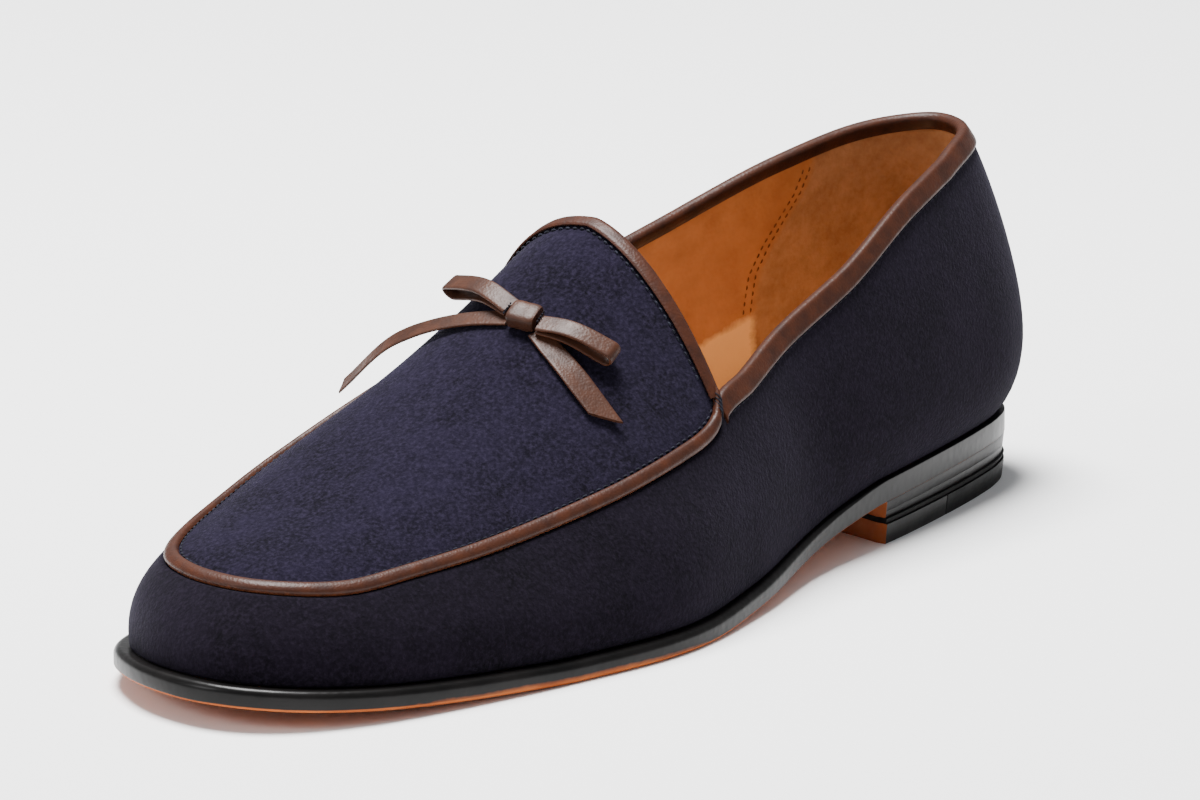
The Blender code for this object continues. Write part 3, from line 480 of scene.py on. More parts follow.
# %% Stations round the shoe
def stations(front, toe, rear, heel):
    """List runs from the outer corner round the toe to the inner one, and on round the heel."""
    front_x = np.linspace(CORNER_AT, TOE_CENTRE, front)
    rear_x = np.linspace(CORNER_AT, HEEL_CENTRE, rear)[1:]
    outer_front = last.run_at(front_x, OUTER)
    inner_front = last.run_at(front_x[::-1], INNER)
    round_toe = np.linspace(outer_front[-1], inner_front[0], toe + 2)[1:-1]
    inner_rear = last.run_at(rear_x, INNER)
    outer_rear = last.run_at(rear_x[::-1], OUTER) + last.around
    round_heel = np.linspace(inner_rear[-1], outer_rear[0], heel + 2)[1:-1]
    ahead = np.concatenate([outer_front, round_toe, inner_front])
    return ahead, np.concatenate([inner_rear, round_heel, outer_rear])


FRONT = 60
AHEAD, BEHIND = stations(FRONT, 70, 46, 60)
print(len(AHEAD), "stations ahead of the corners and", len(BEHIND), "behind them")

# %% [markdown]
# ## Shader groups
# Suede, smooth leather and dyed edges share a few effects, so each effect is a node group with
# named inputs and outputs. The nap is the brushed surface of suede: fine specks over broad
# patches where the fibres lie another way. The grain is the pattern of pores in smooth leather.
# The rub breaks a painted edge up, so that worn or dyed borders are never ruler straight.

# %% Node helpers
def node(tree, kind, inputs=None, **settings):
    """Add a node, set its settings, and set or link its inputs."""
    made = tree.nodes.new(kind)
    for key, value in settings.items():
        setattr(made, key, value)
    for key, value in (inputs or {}).items():
        if isinstance(value, bpy.types.NodeSocket):
            tree.links.new(value, made.inputs[key])
        else:
            made.inputs[key].default_value = value
    return made


def calc(tree, operation, a, b=0.0, clamp=False):
    """Add a sum on two values and give its result."""
    made = node(tree, "ShaderNodeMath", {0: a, 1: b}, operation=operation, use_clamp=clamp)
    return made.outputs[0]


def blend(tree, factor, a, b):
    """Add a blend of two colours and give its result."""
    mixed = node(tree, "ShaderNodeMix", {0: factor, 6: a, 7: b}, data_type="RGBA")
    return mixed.outputs[2]


def spread_out(tree, value, low, high, to_low=0.0, to_high=1.0):
    """Stretch a value from one range to another, held at its ends."""
    inputs = {"Value": value, "From Min": low, "From Max": high, "To Min": to_low,
              "To Max": to_high}
    return node(tree, "ShaderNodeMapRange", inputs).outputs[0]


def noise(tree, vector, scale, detail=2.0, roughness=0.5):
    """Add noise at a scale given per metre and give its value."""
    inputs = {"Vector": vector, "Scale": scale, "Detail": detail, "Roughness": roughness}
    return node(tree, "ShaderNodeTexNoise", inputs).outputs[0]


def new_group(name, inputs, outputs):
    """Start a shader group with named inputs and outputs."""
    tree = bpy.data.node_groups.new(name, "ShaderNodeTree")
    for label, kind, default in inputs:
        socket = tree.interface.new_socket(label, in_out="INPUT", socket_type="NodeSocket" + kind)
        if default is not None:
            socket.default_value = default
    for label in outputs:
        tree.interface.new_socket(label, in_out="OUTPUT", socket_type="NodeSocketFloat")
    return tree, node(tree, "NodeGroupInput").outputs, node(tree, "NodeGroupOutput").inputs


print("helpers for nodes are ready")

# %% Nap
nap_tree, given, result = new_group(
    "suede_nap", (("Vector", "Vector", None), ("Speck Scale", "Float", 900.0),
                  ("Patch Scale", "Float", 75.0)), ("Height", "Mottle", "Speck"))
speck = noise(nap_tree, given["Vector"], given["Speck Scale"], 3.0, 0.65)
middle_scale = calc(nap_tree, "MULTIPLY", given["Patch Scale"], 4.5)
middle_patch = noise(nap_tree, given["Vector"], middle_scale, 2.0, 0.6)
patch = noise(nap_tree, given["Vector"], given["Patch Scale"], 2.0, 0.5)
both = calc(nap_tree, "ADD", calc(nap_tree, "MULTIPLY", patch, 0.6),
            calc(nap_tree, "MULTIPLY", middle_patch, 0.4))
nap_tree.links.new(spread_out(nap_tree, both, 0.36, 0.64), result["Mottle"])
nap_tree.links.new(spread_out(nap_tree, speck, 0.32, 0.68), result["Speck"])
height = calc(nap_tree, "ADD", calc(nap_tree, "MULTIPLY", speck, 0.7),
              calc(nap_tree, "MULTIPLY", middle_patch, 0.3))
nap_tree.links.new(height, result["Height"])
print("shader group", nap_tree.name)

# %% Grain
grain_tree, given, result = new_group(
    "leather_grain", (("Vector", "Vector", None), ("Pore Scale", "Float", 1400.0)),
    ("Height", "Tone"))
pores = {"Vector": given["Vector"], "Scale": given["Pore Scale"]}
cells = node(grain_tree, "ShaderNodeTexVoronoi", pores, feature="SMOOTH_F1").outputs["Distance"]
wave_scale = calc(grain_tree, "MULTIPLY", given["Pore Scale"], 0.14)
waves = noise(grain_tree, given["Vector"], wave_scale, 3.0, 0.55)
height = calc(grain_tree, "SUBTRACT", waves, calc(grain_tree, "MULTIPLY", cells, 0.45))
grain_tree.links.new(height, result["Height"])
grain_tree.links.new(spread_out(grain_tree, waves, 0.3, 0.7), result["Tone"])
print("shader group", grain_tree.name)

# %% Rub
rub_tree, given, result = new_group(
    "rubbed_edge", (("Vector", "Vector", None), ("Mask", "Float", 0.0), ("Scale", "Float", 400.0),
                    ("Raggedness", "Float", 0.35)), ("Mask",))
broken = calc(rub_tree, "SUBTRACT", noise(rub_tree, given["Vector"], given["Scale"], 3.0, 0.6), 0.5)
shift = calc(rub_tree, "MULTIPLY", broken, calc(rub_tree, "MULTIPLY", given["Raggedness"], 4.0))
rub_tree.links.new(spread_out(rub_tree, calc(rub_tree, "ADD", given["Mask"], shift), 0.35, 0.65),
                   result["Mask"])
print("shader group", rub_tree.name)

# %% Materials start from one helper
def start_material(name, **constants):
    """Start a material, and give it with its tree, its shader and its coordinates in metres."""
    material = bpy.data.materials.new(name)
    material.use_nodes = True
    tree = material.node_tree
    shader = tree.nodes["Principled BSDF"]
    for label, value in constants.items():
        shader.inputs[label.replace("_", " ").title().replace("Ior", "IOR")].default_value = value
    place = node(tree, "ShaderNodeTexCoord").outputs["Object"]
    return material, tree, shader, place


def use_group(tree, group, **inputs):
    """Add a shader group and give its outputs."""
    named = {label.replace("_", " ").title(): value for label, value in inputs.items()}
    return node(tree, "ShaderNodeGroup", named, node_tree=group).outputs


def lay_finish(tree, shader, tone, rough, height, distance, strength):
    """Link a finish's tone, its roughness over a value's range, and its bump to the shader."""
    tree.links.new(tone, shader.inputs["Base Color"])
    if rough:
        value, low, high = rough
        tree.links.new(spread_out(tree, value, 0, 1, low, high), shader.inputs["Roughness"])
    relief = {"Height": height, "Distance": distance, "Strength": strength}
    bump = node(tree, "ShaderNodeBump", relief)
    tree.links.new(bump.outputs[0], shader.inputs["Normal"])


def painted(tree, name):
    """Give a value painted on the piece."""
    return node(tree, "ShaderNodeAttribute", attribute_name=name).outputs["Fac"]


def plain_leather(name, pore_scale, deep, pale, rough, bump, **constants):
    """Make a leather or rubber whose tone, roughness and height all follow its grain."""
    material, tree, shader, place = start_material(name, **constants)
    grain = use_group(tree, grain_tree, vector=place, pore_scale=pore_scale)
    tone = blend(tree, grain["Tone"], deep, pale)
    lay_finish(tree, shader, tone, (grain["Tone"], *rough), grain["Height"], *bump)
    return material


print("helpers for finishes are ready")

# %% [markdown]
# ## Navy suede
# Suede is the flesh side of a hide, brushed until its fibres stand. It scatters light and catches
# it at grazing angles, so it is very rough, with a weak violet sheen. Hairs could make the
# fibres, but at this size they read as a fine speckle over broad patches, which the nap group
# gives in colour and in bump; its lit specks are painted glints. The apron takes a paler copy
# of the suede as painted light, and the sides a darker copy as painted shade.

# %% Navy suede
def navy_suede(name, deep, pale, lit):
    """Make brushed suede from three tones: between patches, on patches and on lit specks."""
    material, tree, shader, place = start_material(
        name, roughness=0.95, sheen_weight=0.045, sheen_roughness=0.5,
        sheen_tint=(0.75, 0.70, 0.95, 1.0), specular_ior_level=0.04)
    nap = use_group(tree, nap_tree, vector=place, speck_scale=1000.0, patch_scale=55.0)
    tone = blend(tree, nap["Mottle"], deep, pale)
    glints = calc(tree, "MULTIPLY", calc(tree, "POWER", nap["Speck"], 1.6), 0.75)
    tone = blend(tree, glints, tone, lit)
    lay_finish(tree, shader, tone, None, nap["Height"], 0.00045, 0.8)
    return material


# Two copies of one suede: the darker one for the sides is painted shade, the paler one for the
# apron painted light.
suede_painted_shade = navy_suede("navy_suede", (0.0009, 0.0006, 0.0012, 1), (0.0036, 0.0023, 0.0050, 1),
                        (0.0095, 0.0068, 0.0125, 1))
suede_painted_light = navy_suede("navy_suede_painted_light", (0.0009, 0.0006, 0.0017, 1),
                       (0.0058, 0.0044, 0.0110, 1), (0.0160, 0.0126, 0.0260, 1))
print("finishes:", suede_painted_shade.name, "and", suede_painted_light.name)

# %% [markdown]
# ## Quarters and vamp
# The suede goes round the foot as one wall, drawn over the last and tucked under at the feather
# line. Worked suede is never quite even, so a few soft hollows and swells are set where the
# foot and the lasting pull it. The lining is a shell of its own behind the suede, because it
# is another leather with another finish, and shows wherever the eye looks in.

# %% Soft hollows in the suede
# Share of the length, share of the collar height, side, reach along and up, depth inwards
HOLLOWS = (
    (0.12, 0.45, OUTER, 0.016, 0.012, 0.00045), (0.26, 0.30, OUTER, 0.020, 0.010, -0.00035),
    (0.36, 0.36, OUTER, 0.014, 0.011, 0.00050), (0.47, 0.40, OUTER, 0.011, 0.010, 0.00045),
    (0.56, 0.27, OUTER, 0.014, 0.008, -0.00040), (0.66, 0.24, OUTER, 0.016, 0.007, 0.00040),
    (0.80, 0.20, OUTER, 0.018, 0.006, -0.00030), (0.20, 0.42, INNER, 0.018, 0.012, 0.00045),
    (0.40, 0.42, INNER, 0.016, 0.012, 0.00045), (0.62, 0.32, INNER, 0.018, 0.008, -0.00035),
    (0.80, 0.22, INNER, 0.016, 0.006, 0.00030),
)


def hollow(points):
    """Give how far the suede lies in or out of the last's surface at points."""
    depth = np.zeros(len(points))
    side = np.where(points[:, 1] > last.ridge_out(points[:, 0]), OUTER, INNER)
    for at, high, which, reach, tall, deep in HOLLOWS:
        far = ((points[:, 0] - at * LAST_LENGTH) / reach) ** 2
        far = far + ((points[:, 2] - high * COLLAR_HEIGHT) / tall) ** 2
        depth += np.where(side == which, deep * np.exp(-far), 0.0)
    return -depth


print(len(HOLLOWS), "soft hollows and swells")

# %% Wall shells
WALL_ROWS = 30
ROW_CROWDING = 1.25
EDGE_ROUND = 0.0010
HOLLOW_FADE = 0.006
SUEDE_BACK = 0.0014


def wall_shell(face_out, back_out, soft):
    """Give a shell round the whole foot between two depths, with each point's share up the wall."""
    rings, shares = [], []
    runs = np.concatenate([AHEAD, BEHIND])
    for i, run in enumerate(runs):
        turns, walked, edge = last.edge_length(run)
        down = edge * np.linspace(1.0, 0.0, WALL_ROWS) ** ROW_CROWDING
        at = np.interp(edge - down, walked, turns)
        skive = EDGE_SKIVE * np.clip(1 - down / SKIVE_DEPTH, 0, 1) * (i >= len(AHEAD) - 1 or i == 0)
        rim = np.clip(1 - down / EDGE_ROUND, 0, 1) ** 2 * EDGE_ROUND / 2
        same = np.full(WALL_ROWS, run)
        bump = hollow(last.surface(same, at)) * np.clip(down / HOLLOW_FADE, 0, 1) * soft
        face = last.offset(same, at, face_out - skive - rim * soft + bump)
        back = last.offset(same, at, back_out + skive * (1 - soft))
        floor = last.seat(last.feather(run)[0]) + GAP
        face[0, 2] = back[0, 2] = floor
        face[:, 2] = np.maximum(face[:, 2], floor)
        back[:, 2] = np.maximum(back[:, 2], floor)
        rings.append(np.vstack([face, back[::-1]]))
        share = 1 - down / edge
        shares.append(np.concatenate([share, share[::-1]]))
    points, faces = loft(rings + rings[:1])
    count = len(runs) * 2 * WALL_ROWS
    faces = [tuple(k % count for k in face) for face in faces]
    return points[:count], faces, np.concatenate(shares)


points, faces, _ = wall_shell(0.0, -SUEDE_BACK, 1.0)
# The sides take the darker suede copy, painted shade.
make_piece("quarters_and_vamp", points, faces, [suede_painted_shade], "navy_suede", ("upper",), merge=True)

# %% [markdown]
# ## Lining
# The lining is unwaxed vegetable-tanned leather. Round the heel it has a rougher grip that holds
# the foot, and its lowest part is the paler leather of the sock, turned up. Three shells could
# meet at these borders, but the real ones are almost flush, so one shell carries two painted
# masks. Each mask is worked out from how far up the wall and how near the heel a point lies, with
# a wide soft ramp that the rub group breaks up.

# %% Tan leather
lining_leather, tree, shader, place = start_material("tan_leather", specular_ior_level=0.35)
grain = use_group(tree, grain_tree, vector=place, pore_scale=900.0)
nap = use_group(tree, nap_tree, vector=place, speck_scale=700.0, patch_scale=110.0)
tone = blend(tree, grain["Tone"], (0.350, 0.126, 0.036, 1), (0.450, 0.178, 0.056, 1))
low = use_group(tree, rub_tree, vector=place, mask=painted(tree, "sock"), scale=250.0,
                raggedness=0.12)
tone = blend(tree, low["Mask"], tone, (0.800, 0.490, 0.230, 1))
grip = use_group(tree, rub_tree, vector=place, mask=painted(tree, "grip"), scale=600.0,
                 raggedness=0.08)
rough = blend(tree, nap["Mottle"], (0.280, 0.130, 0.055, 1), (0.390, 0.195, 0.090, 1))
tone = blend(tree, grip["Mask"], tone, rough)
height = calc(tree, "ADD", grain["Height"], calc(tree, "MULTIPLY", nap["Height"], grip["Mask"]))
lay_finish(tree, shader, tone, (grip["Mask"], 0.55, 0.85), height, 0.0003, 0.6)
print("finish:", lining_leather.name)

# %% Lining
LINING_FACE = 0.0015
GRIP_RAMP = 0.008
SOCK_RAMP = 0.10
# Front of the heel grip: share up the wall, share of the length
GRIP_FRONT = np.array(((0.39, 0.174), (0.56, 0.172), (0.66, 0.162), (0.75, 0.149), (0.83, 0.137),
                       (0.91, 0.132)))
# Top of the pale sock leather: share of the length, share up the wall
SOCK_TOP = np.array(((0.11, 0.34), (0.15, 0.385), (0.18, 0.39), (0.21, 0.365), (0.23, 0.34),
                     (0.27, 0.35), (0.4, 0.37)))
points, faces, share = wall_shell(-LINING_FACE, -UPPER_WALL, 0.0)
grip_front = np.interp(share, *GRIP_FRONT.T) * LAST_LENGTH
sock_top = np.interp(points[:, 0] / LAST_LENGTH, *SOCK_TOP.T)
masks = {"grip": np.clip(0.5 + (grip_front - points[:, 0]) / GRIP_RAMP, 0, 1),
         "sock": np.clip(0.5 + (sock_top - share) / SOCK_RAMP, 0, 1)}
make_piece("lining", points, faces, [lining_leather], "tan_leather", ("upper",), merge=True,
           paints=masks)

# %% [markdown]
# ## Apron
# The apron is the flat-topped piece over the toes and instep. It is let in a little below the
# vamp's edge. Its shell is a fan of columns from the seam up to the ridge, whose ends meet on the
# ridge and at one point over the toes, where they are merged into one skin. Its lining is a
# second shell.

# %% Apron shell
APRON_ROWS = 26
RIDGE_BLEND = 0.3
THROAT_BOW = 0.0026
THROAT_BOW_REACH = 0.018
SEAM_TUCK = 0.0005
APRON_BACK = 0.0017
APRON_LINING_FACE = 0.0018
APRON_LINING_BACK = 0.00235


def bow_back(x, share):
    """Move an X of the apron back, so that the throat's edge curves over the instep."""
    fade = np.clip(1 - (x - CORNER_AT) / THROAT_BOW_REACH, 0.0, 1.0)
    return x - THROAT_BOW * share**2 * fade


def apron_shell(face_out, back_out):
    """Give a shell over the toes and instep between two depths."""
    skins = {face_out: [], back_out: []}
    for i, run in enumerate(AHEAD):
        share = np.linspace(0.0, 1.0, APRON_ROWS)
        low = last.edge_turn(run, SEAM_TUCK)
        turns = low + (UPRIGHT - low) * share
        along = np.full(APRON_ROWS, run)
        ridge_x = TOE_CENTRE
        if i < FRONT or i >= len(AHEAD) - FRONT:
            x = bow_back(last.feather(run)[0], share)
            along = last.run_at(x, OUTER if i < FRONT else INNER)
            ridge_x = x[-1]
        surface = last.surface(along, turns)
        top_way = last.ridge_normal(ridge_x)
        near = np.clip((share - 1 + RIDGE_BLEND) / RIDGE_BLEND, 0, 1)[:, None] ** 2
        way = unit(last.normal(along, turns) * (1 - near) + top_way * near)
        surface[-1] = last.ridge_point(ridge_x)
        for out, skin in skins.items():
            skin.append(surface + way * out)
    face, faces = loft(skins[face_out], closed_ring=False)
    back, more = loft(skins[back_out], closed_ring=False)
    count = len(face)
    faces += [tuple(k + count for k in reversed(corner)) for corner in more]
    for i in range(len(AHEAD) - 1):
        a, b = i * APRON_ROWS, (i + 1) * APRON_ROWS
        faces.append((a, b, b + count, a + count))
    for end in (0, count - APRON_ROWS):
        for q in range(end, end + APRON_ROWS - 1):
            faces.append((q, q + 1, q + 1 + count, q + count))
    return np.vstack([face, back]), faces


# The apron takes the paler suede copy, painted light.
make_piece("apron", *apron_shell(-APRON_STEP, -APRON_BACK), [suede_painted_light], "navy_suede", ("upper",),
           merge=True)
make_piece("apron_lining", *apron_shell(-APRON_LINING_FACE, -APRON_LINING_BACK), [lining_leather],
           "tan_leather", ("upper",), merge=True, paints={"grip": 0.0, "sock": 0.0})

# %% [markdown]
# ## Bindings
# Three strips of brown leather finish the edges: one folded over the collar, one folded over the
# apron's free edge, and one laid along the seam. Each is a section swept round the shoe. The
# folded ones have a longer leg outside than inside, as a binding does when it is turned over and
# stitched. The leather is a waxed calf with a soft broad shine. Where the piping dips to the suede
# it is painted a deeper red, as painted shade.

# %% Brown binding leather
def brown_leather(name, pale, deep):
    """Make the waxed brown leather in a paler or deeper tone, and a deeper red where rim is
    painted.
    """
    material, tree, shader, place = start_material(
        name, coat_weight=0.03, coat_roughness=0.32, specular_ior_level=0.15)
    grain = use_group(tree, grain_tree, vector=place, pore_scale=1700.0)
    tone = blend(tree, grain["Tone"], deep, pale)
    rim = use_group(tree, rub_tree, vector=place, mask=painted(tree, "rim"), scale=900.0,
                    raggedness=0.3)
    # A deeper red where rim is painted: on the bow's cut edges, and as painted shade where the
    # piping dips to the suede.
    tone = blend(tree, rim["Mask"], tone, (0.085, 0.024, 0.009, 1))
    lay_finish(tree, shader, tone, (grain["Tone"], 0.50, 0.38), grain["Height"], 0.00025, 0.6)
    return material


binding_leather = brown_leather("brown_leather", (0.046, 0.0140, 0.0066, 1),
                                (0.024, 0.0074, 0.0040, 1))
print("finish:", binding_leather.name)

# %% Collar band
COLLAR_BAND = 0.0044
COLLAR_TURN_IN = 0.0026
LEG_THICKNESS = 0.0007
RIM_THICKNESS = 0.0010
RIM_POINTS = 11
CUT_BEVEL = 0.0001
CUT_ROUND = 0.0003
RIM_DROP = 0.0004
BAND_OVERLAP = 0.0010
COLLAR_RINGS = 340


def folded_section(half, band, turn_in, clear, flare):
    """Give a folded strip round an edge: rows of offset across the wall and of length past it."""
    near = half + clear
    far = near + LEG_THICKNESS
    rows = [(near + flare, -band), (near + flare + 0.45 * LEG_THICKNESS, -band - CUT_BEVEL),
            (far + flare - CUT_BEVEL, -band + CUT_ROUND), (far + 0.8 * flare, -0.8 * band),
            (far + 0.55 * flare, -0.55 * band), (far + 0.3 * flare, -0.3 * band)]
    for angle in np.linspace(0.0, math.pi, RIM_POINTS):
        bulge = abs(math.sin(angle)) ** 0.8
        rows.append((far * math.cos(angle), -RIM_DROP + (GAP + RIM_THICKNESS + RIM_DROP) * bulge))
    rows += [(-far - 0.3 * flare, -0.4 * turn_in), (-far - 0.5 * flare, -0.8 * turn_in),
             (-far - 0.5 * flare + 2 * CUT_BEVEL, -turn_in), (-near - 0.5 * flare, -turn_in),
             (-near, -0.3 * turn_in), (-near, GAP), (near, GAP), (near, -0.3 * band)]
    return rows


def collar_binding():
    """Give the strip folded over the top edge of the quarters."""
    start = last.run_at(CORNER_AT + BAND_OVERLAP, INNER)
    end = last.run_at(CORNER_AT + BAND_OVERLAP, OUTER) + last.around
    half = UPPER_WALL / 2 - EDGE_SKIVE
    flare = EDGE_SKIVE * COLLAR_BAND / SKIVE_DEPTH
    rows = folded_section(half, COLLAR_BAND, COLLAR_TURN_IN, GAP, flare)
    runs = np.linspace(start, end, COLLAR_RINGS)
    across, up = np.array(rows).T
    return loft([last.place(run, up, across - UPPER_WALL / 2) for run in runs], caps=True)


make_piece("collar_band", *collar_binding(), [binding_leather], "brown_leather",
           ("collar_binding",), paints={"rim": 0.0})

# %% [markdown]
# ## Apron piping
# The piping covers the joint of vamp and apron. It is a cord of leather, rounded towards the
# apron and thin at the suede. A curve with a bevel would be a plain round pipe, so its section is
# swept.

# %% Apron piping
APRON_BAND = 0.0041
BEAD_HEIGHT = 0.0011
BEAD_FOOT = 0.0003
BEAD_POINTS = 15


def apron_binding():
    """Give the piping along the seam: flat below and rounded above."""
    start = last.run_at(CORNER_AT + GAP, OUTER)
    end = last.run_at(CORNER_AT + GAP, INNER)
    floor = GAP - APRON_STEP
    rows = [(floor, GAP), (floor, APRON_BAND)]
    for angle in np.linspace(0.0, math.pi, BEAD_POINTS):
        rise = math.sin(angle) ** 0.75
        rows.append((floor + BEAD_FOOT + (BEAD_HEIGHT - floor - BEAD_FOOT) * rise,
                     GAP + (APRON_BAND - GAP) * (0.5 + 0.5 * math.cos(angle))))
    runs = np.concatenate([[start], AHEAD[1:-1], [end]])
    high, up = np.array(rows).T
    return loft([last.place(run, up, high) for run in runs], caps=True)


points, faces = apron_binding()
# The rim values across the piping are painted shade, rising towards the bead's foot where it dips
# to the suede, and full on its flat underside.
dip = np.concatenate([[1.0, 0.6], 0.62 * np.linspace(0.0, 1.0, BEAD_POINTS) ** 6])
make_piece("apron_piping", points, faces, [binding_leather], "brown_leather", ("apron_binding",),
           paints={"rim": np.tile(dip, len(points) // len(dip))})

# %% [markdown]
# ## Throat binding
# The apron's free edge ends in a folded strip, like the collar's but over a thinner edge. It
# curves back over the instep, so its section is carried along that edge with the edge's own
# directions.

# %% Throat band
THROAT_BAND = 0.0031
THROAT_END = 0.0010
THROAT_RINGS = 120


def throat_line(steps=60):
    """Give points and normals along the apron's free edge, from the outer corner to the inner."""
    points, normals = [], []
    for side in (OUTER, INNER):
        low = last.edge_turn(last.run_at(CORNER_AT, side))
        share = np.linspace(0.0, 1.0, steps)
        x = bow_back(np.full(steps, CORNER_AT), share)
        turns = low + (UPRIGHT - low) * share
        runs = last.run_at(x, side)
        line, way = last.surface(runs, turns), last.normal(runs, turns)
        line[-1], way[-1] = last.ridge_point(x[-1]), last.ridge_normal(x[-1])
        points.append(line)
        normals.append(way)
    return (np.vstack([points[0], points[1][-2::-1]]), np.vstack([normals[0], normals[1][-2::-1]]))


def along_line(points, values, at):
    """Read values at lengths walked along a line of points."""
    walked = lengths_along(points)
    return np.stack([np.interp(at, walked, values[:, k]) for k in range(3)], -1)


def throat_frames(ahead, clear, steps):
    """Give points, normals and backward directions beside the apron's free edge."""
    points, normals = throat_line()
    at = np.linspace(clear, lengths_along(points)[-1] - clear, steps)
    centre = along_line(points, points, at)
    way = unit(along_line(points, normals, at))
    back = unit(np.cross(unit(np.gradient(centre, axis=0)), way))
    return centre - back * ahead, way, back


def throat_binding(steps=THROAT_RINGS):
    """Give the strip folded over the apron's free edge."""
    centre, way, back = throat_frames(0.0, THROAT_END, steps)
    half = (UPPER_WALL - APRON_STEP) / 2
    rows = folded_section(half, THROAT_BAND, THROAT_BAND, 2 * GAP, 0.0)
    middle = APRON_STEP + half
    rings = []
    for k in range(steps):
        ring = [centre[k] + way[k] * (across - middle) + back[k] * up for across, up in rows]
        rings.append(np.array(ring))
    return loft(rings, caps=True)


make_piece("throat_band", *throat_binding(), [binding_leather], "brown_leather",
           ("throat_binding",), paints={"rim": 0.0})

# %% [markdown]
# ## Stitches
# A sewn row is a line of short threads that dive into the leather at both ends. A bump could show
# them, but at the seams they stand out, so each is a small bent capsule that catches light as
# thread does. One helper lays a row along any line that has a normal at each point. Blue rows
# follow the apron, a dark row follows the collar, and two tan rows run before the heel grip
# inside.

# %% Threads
def thread_finish(name, pale, deep):
    """Make a thread's finish, twisted and a little uneven in tone."""
    material, tree, shader, place = start_material(name, sheen_weight=0.04, specular_ior_level=0.10)
    nap = use_group(tree, nap_tree, vector=place, speck_scale=2200.0, patch_scale=300.0)
    tone = blend(tree, nap["Mottle"], deep, pale)
    lay_finish(tree, shader, tone, (nap["Speck"], 0.70, 0.85), nap["Height"], 0.0001, 0.6)
    return material


blue_thread = thread_finish("blue_thread", (0.0170, 0.0185, 0.0300, 1), (0.0040, 0.0042, 0.0070, 1))
dark_thread = thread_finish("dark_thread", (0.010, 0.010, 0.018, 1), (0.003, 0.003, 0.005, 1))
tan_thread = thread_finish("tan_thread", (0.230, 0.100, 0.040, 1), (0.090, 0.036, 0.014, 1))
print("finishes:", blue_thread.name, dark_thread.name, tan_thread.name)

# %% Rows of stitches
STITCH_RINGS = 7
THREAD_SIDES = 8
THREAD_RISE, THREAD_DIVE = 0.30, 0.75
COUNT_SLACK = 1e-6


def stitch_row(points, ways, pitch, length, thread):
    """Give points and faces of a row of stitches on a line, each diving in at both ends."""
    walked = lengths_along(points)
    spread = np.linspace(-0.5, 0.5, STITCH_RINGS)
    angles = np.linspace(0, 2 * math.pi, THREAD_SIDES, endpoint=False)
    parts = []
    for k in range(int(walked[-1] / pitch + COUNT_SLACK)):
        at = (k + 0.5) * pitch + spread * length
        line = along_line(points, points, at)
        way = unit(along_line(points, ways, at))
        across = unit(np.cross(unit(np.gradient(line, axis=0)), way))
        size = thread / 2 * np.sqrt(1.02 - (2 * spread) ** 2)
        lift = thread * (THREAD_RISE - THREAD_DIVE * (2 * spread) ** 4)
        rings = []
        for i in range(len(spread)):
            around = np.cos(angles)[:, None] * across[i] + np.sin(angles)[:, None] * way[i]
            rings.append(line[i] + way[i] * lift[i] + around * size[i])
        parts.append(loft(rings, caps=True))
    return gather(parts)


def seam_line(runs, up, out):
    """Give points and normals a length past the top edge and out of the form."""
    points = np.array([last.place(run, [up], [out])[0] for run in runs])
    along = unit(np.gradient(points, axis=0))
    turns = [last.edge_turn(run, -up) for run in runs]
    ways = np.array([last.normal(np.array(run), np.array(turn)) for run, turn in zip(runs, turns)])
    return points, unit(ways - along * np.sum(ways * along, axis=1)[:, None])


print("each stitch has", STITCH_RINGS * THREAD_SIDES, "points")

# %% Stitches of the apron, collar and throat
# Pitch of a row, and length and thickness of a stitch
APRON_STITCH = (0.00225, 0.0016, 0.00050)
COLLAR_STITCH = (0.0023, 0.0015, 0.00040)
THROAT_STITCH = (0.0021, 0.0015, 0.00050)
STITCH_OFF = 0.0006
ROW_START = 0.002
ROW_POINTS = 300
COLLAR_ROW_DEPTH = 0.0001
first, after = (last.run_at(CORNER_AT + ROW_START, side) for side in (OUTER, INNER))
line, ways = seam_line(np.linspace(first, after, ROW_POINTS), APRON_BAND + STITCH_OFF, -APRON_STEP)
make_piece("apron_stitches", *stitch_row(line, ways, *APRON_STITCH), [blue_thread], "navy_suede")
first, after = (last.run_at(CORNER_AT - ROW_START, side) for side in (INNER, OUTER))
line, ways = seam_line(np.linspace(first, after + last.around, ROW_POINTS),
                       -COLLAR_BAND - STITCH_OFF, -COLLAR_ROW_DEPTH)
make_piece("collar_stitches", *stitch_row(line, ways, *COLLAR_STITCH), [dark_thread], "navy_suede")
line, ways, _ = throat_frames(THROAT_BAND + STITCH_OFF, APRON_BAND + ROW_START, THROAT_RINGS)
make_piece("throat_stitches", *stitch_row(line - ways * APRON_STEP, ways, *THROAT_STITCH),
           [blue_thread], "navy_suede")

# %% [markdown]
# ## Stitches in front of the heel grip
# Inside, the heel grip is held by two close rows along its front edge. They follow the same table
# as the grip's mask, so that thread and leather change together, and they face into the shoe.

# %% Stitches in front of the heel grip
LINING_STITCH = (0.0022, 0.0015, 0.00040)
GRIP_ROWS = (0.0006, 0.0028)
GRIP_ROW_ENDS = (0.40, 0.955)


def inside_line(side, ahead):
    """Give points on the lining along the front of the heel grip, and the way into the shoe."""
    points, ways = [], []
    for up in np.linspace(*GRIP_ROW_ENDS, 60):
        run = float(last.run_at(np.interp(up, *GRIP_FRONT.T) * LAST_LENGTH + ahead, side))
        turns, walked, edge = last.edge_length(run)
        points.append(last.place(run, [(up - 1) * edge], [-UPPER_WALL])[0])
        ways.append(-last.normal(np.array(run), np.interp(up * edge, walked, turns)))
    return np.array(points), np.array(ways)


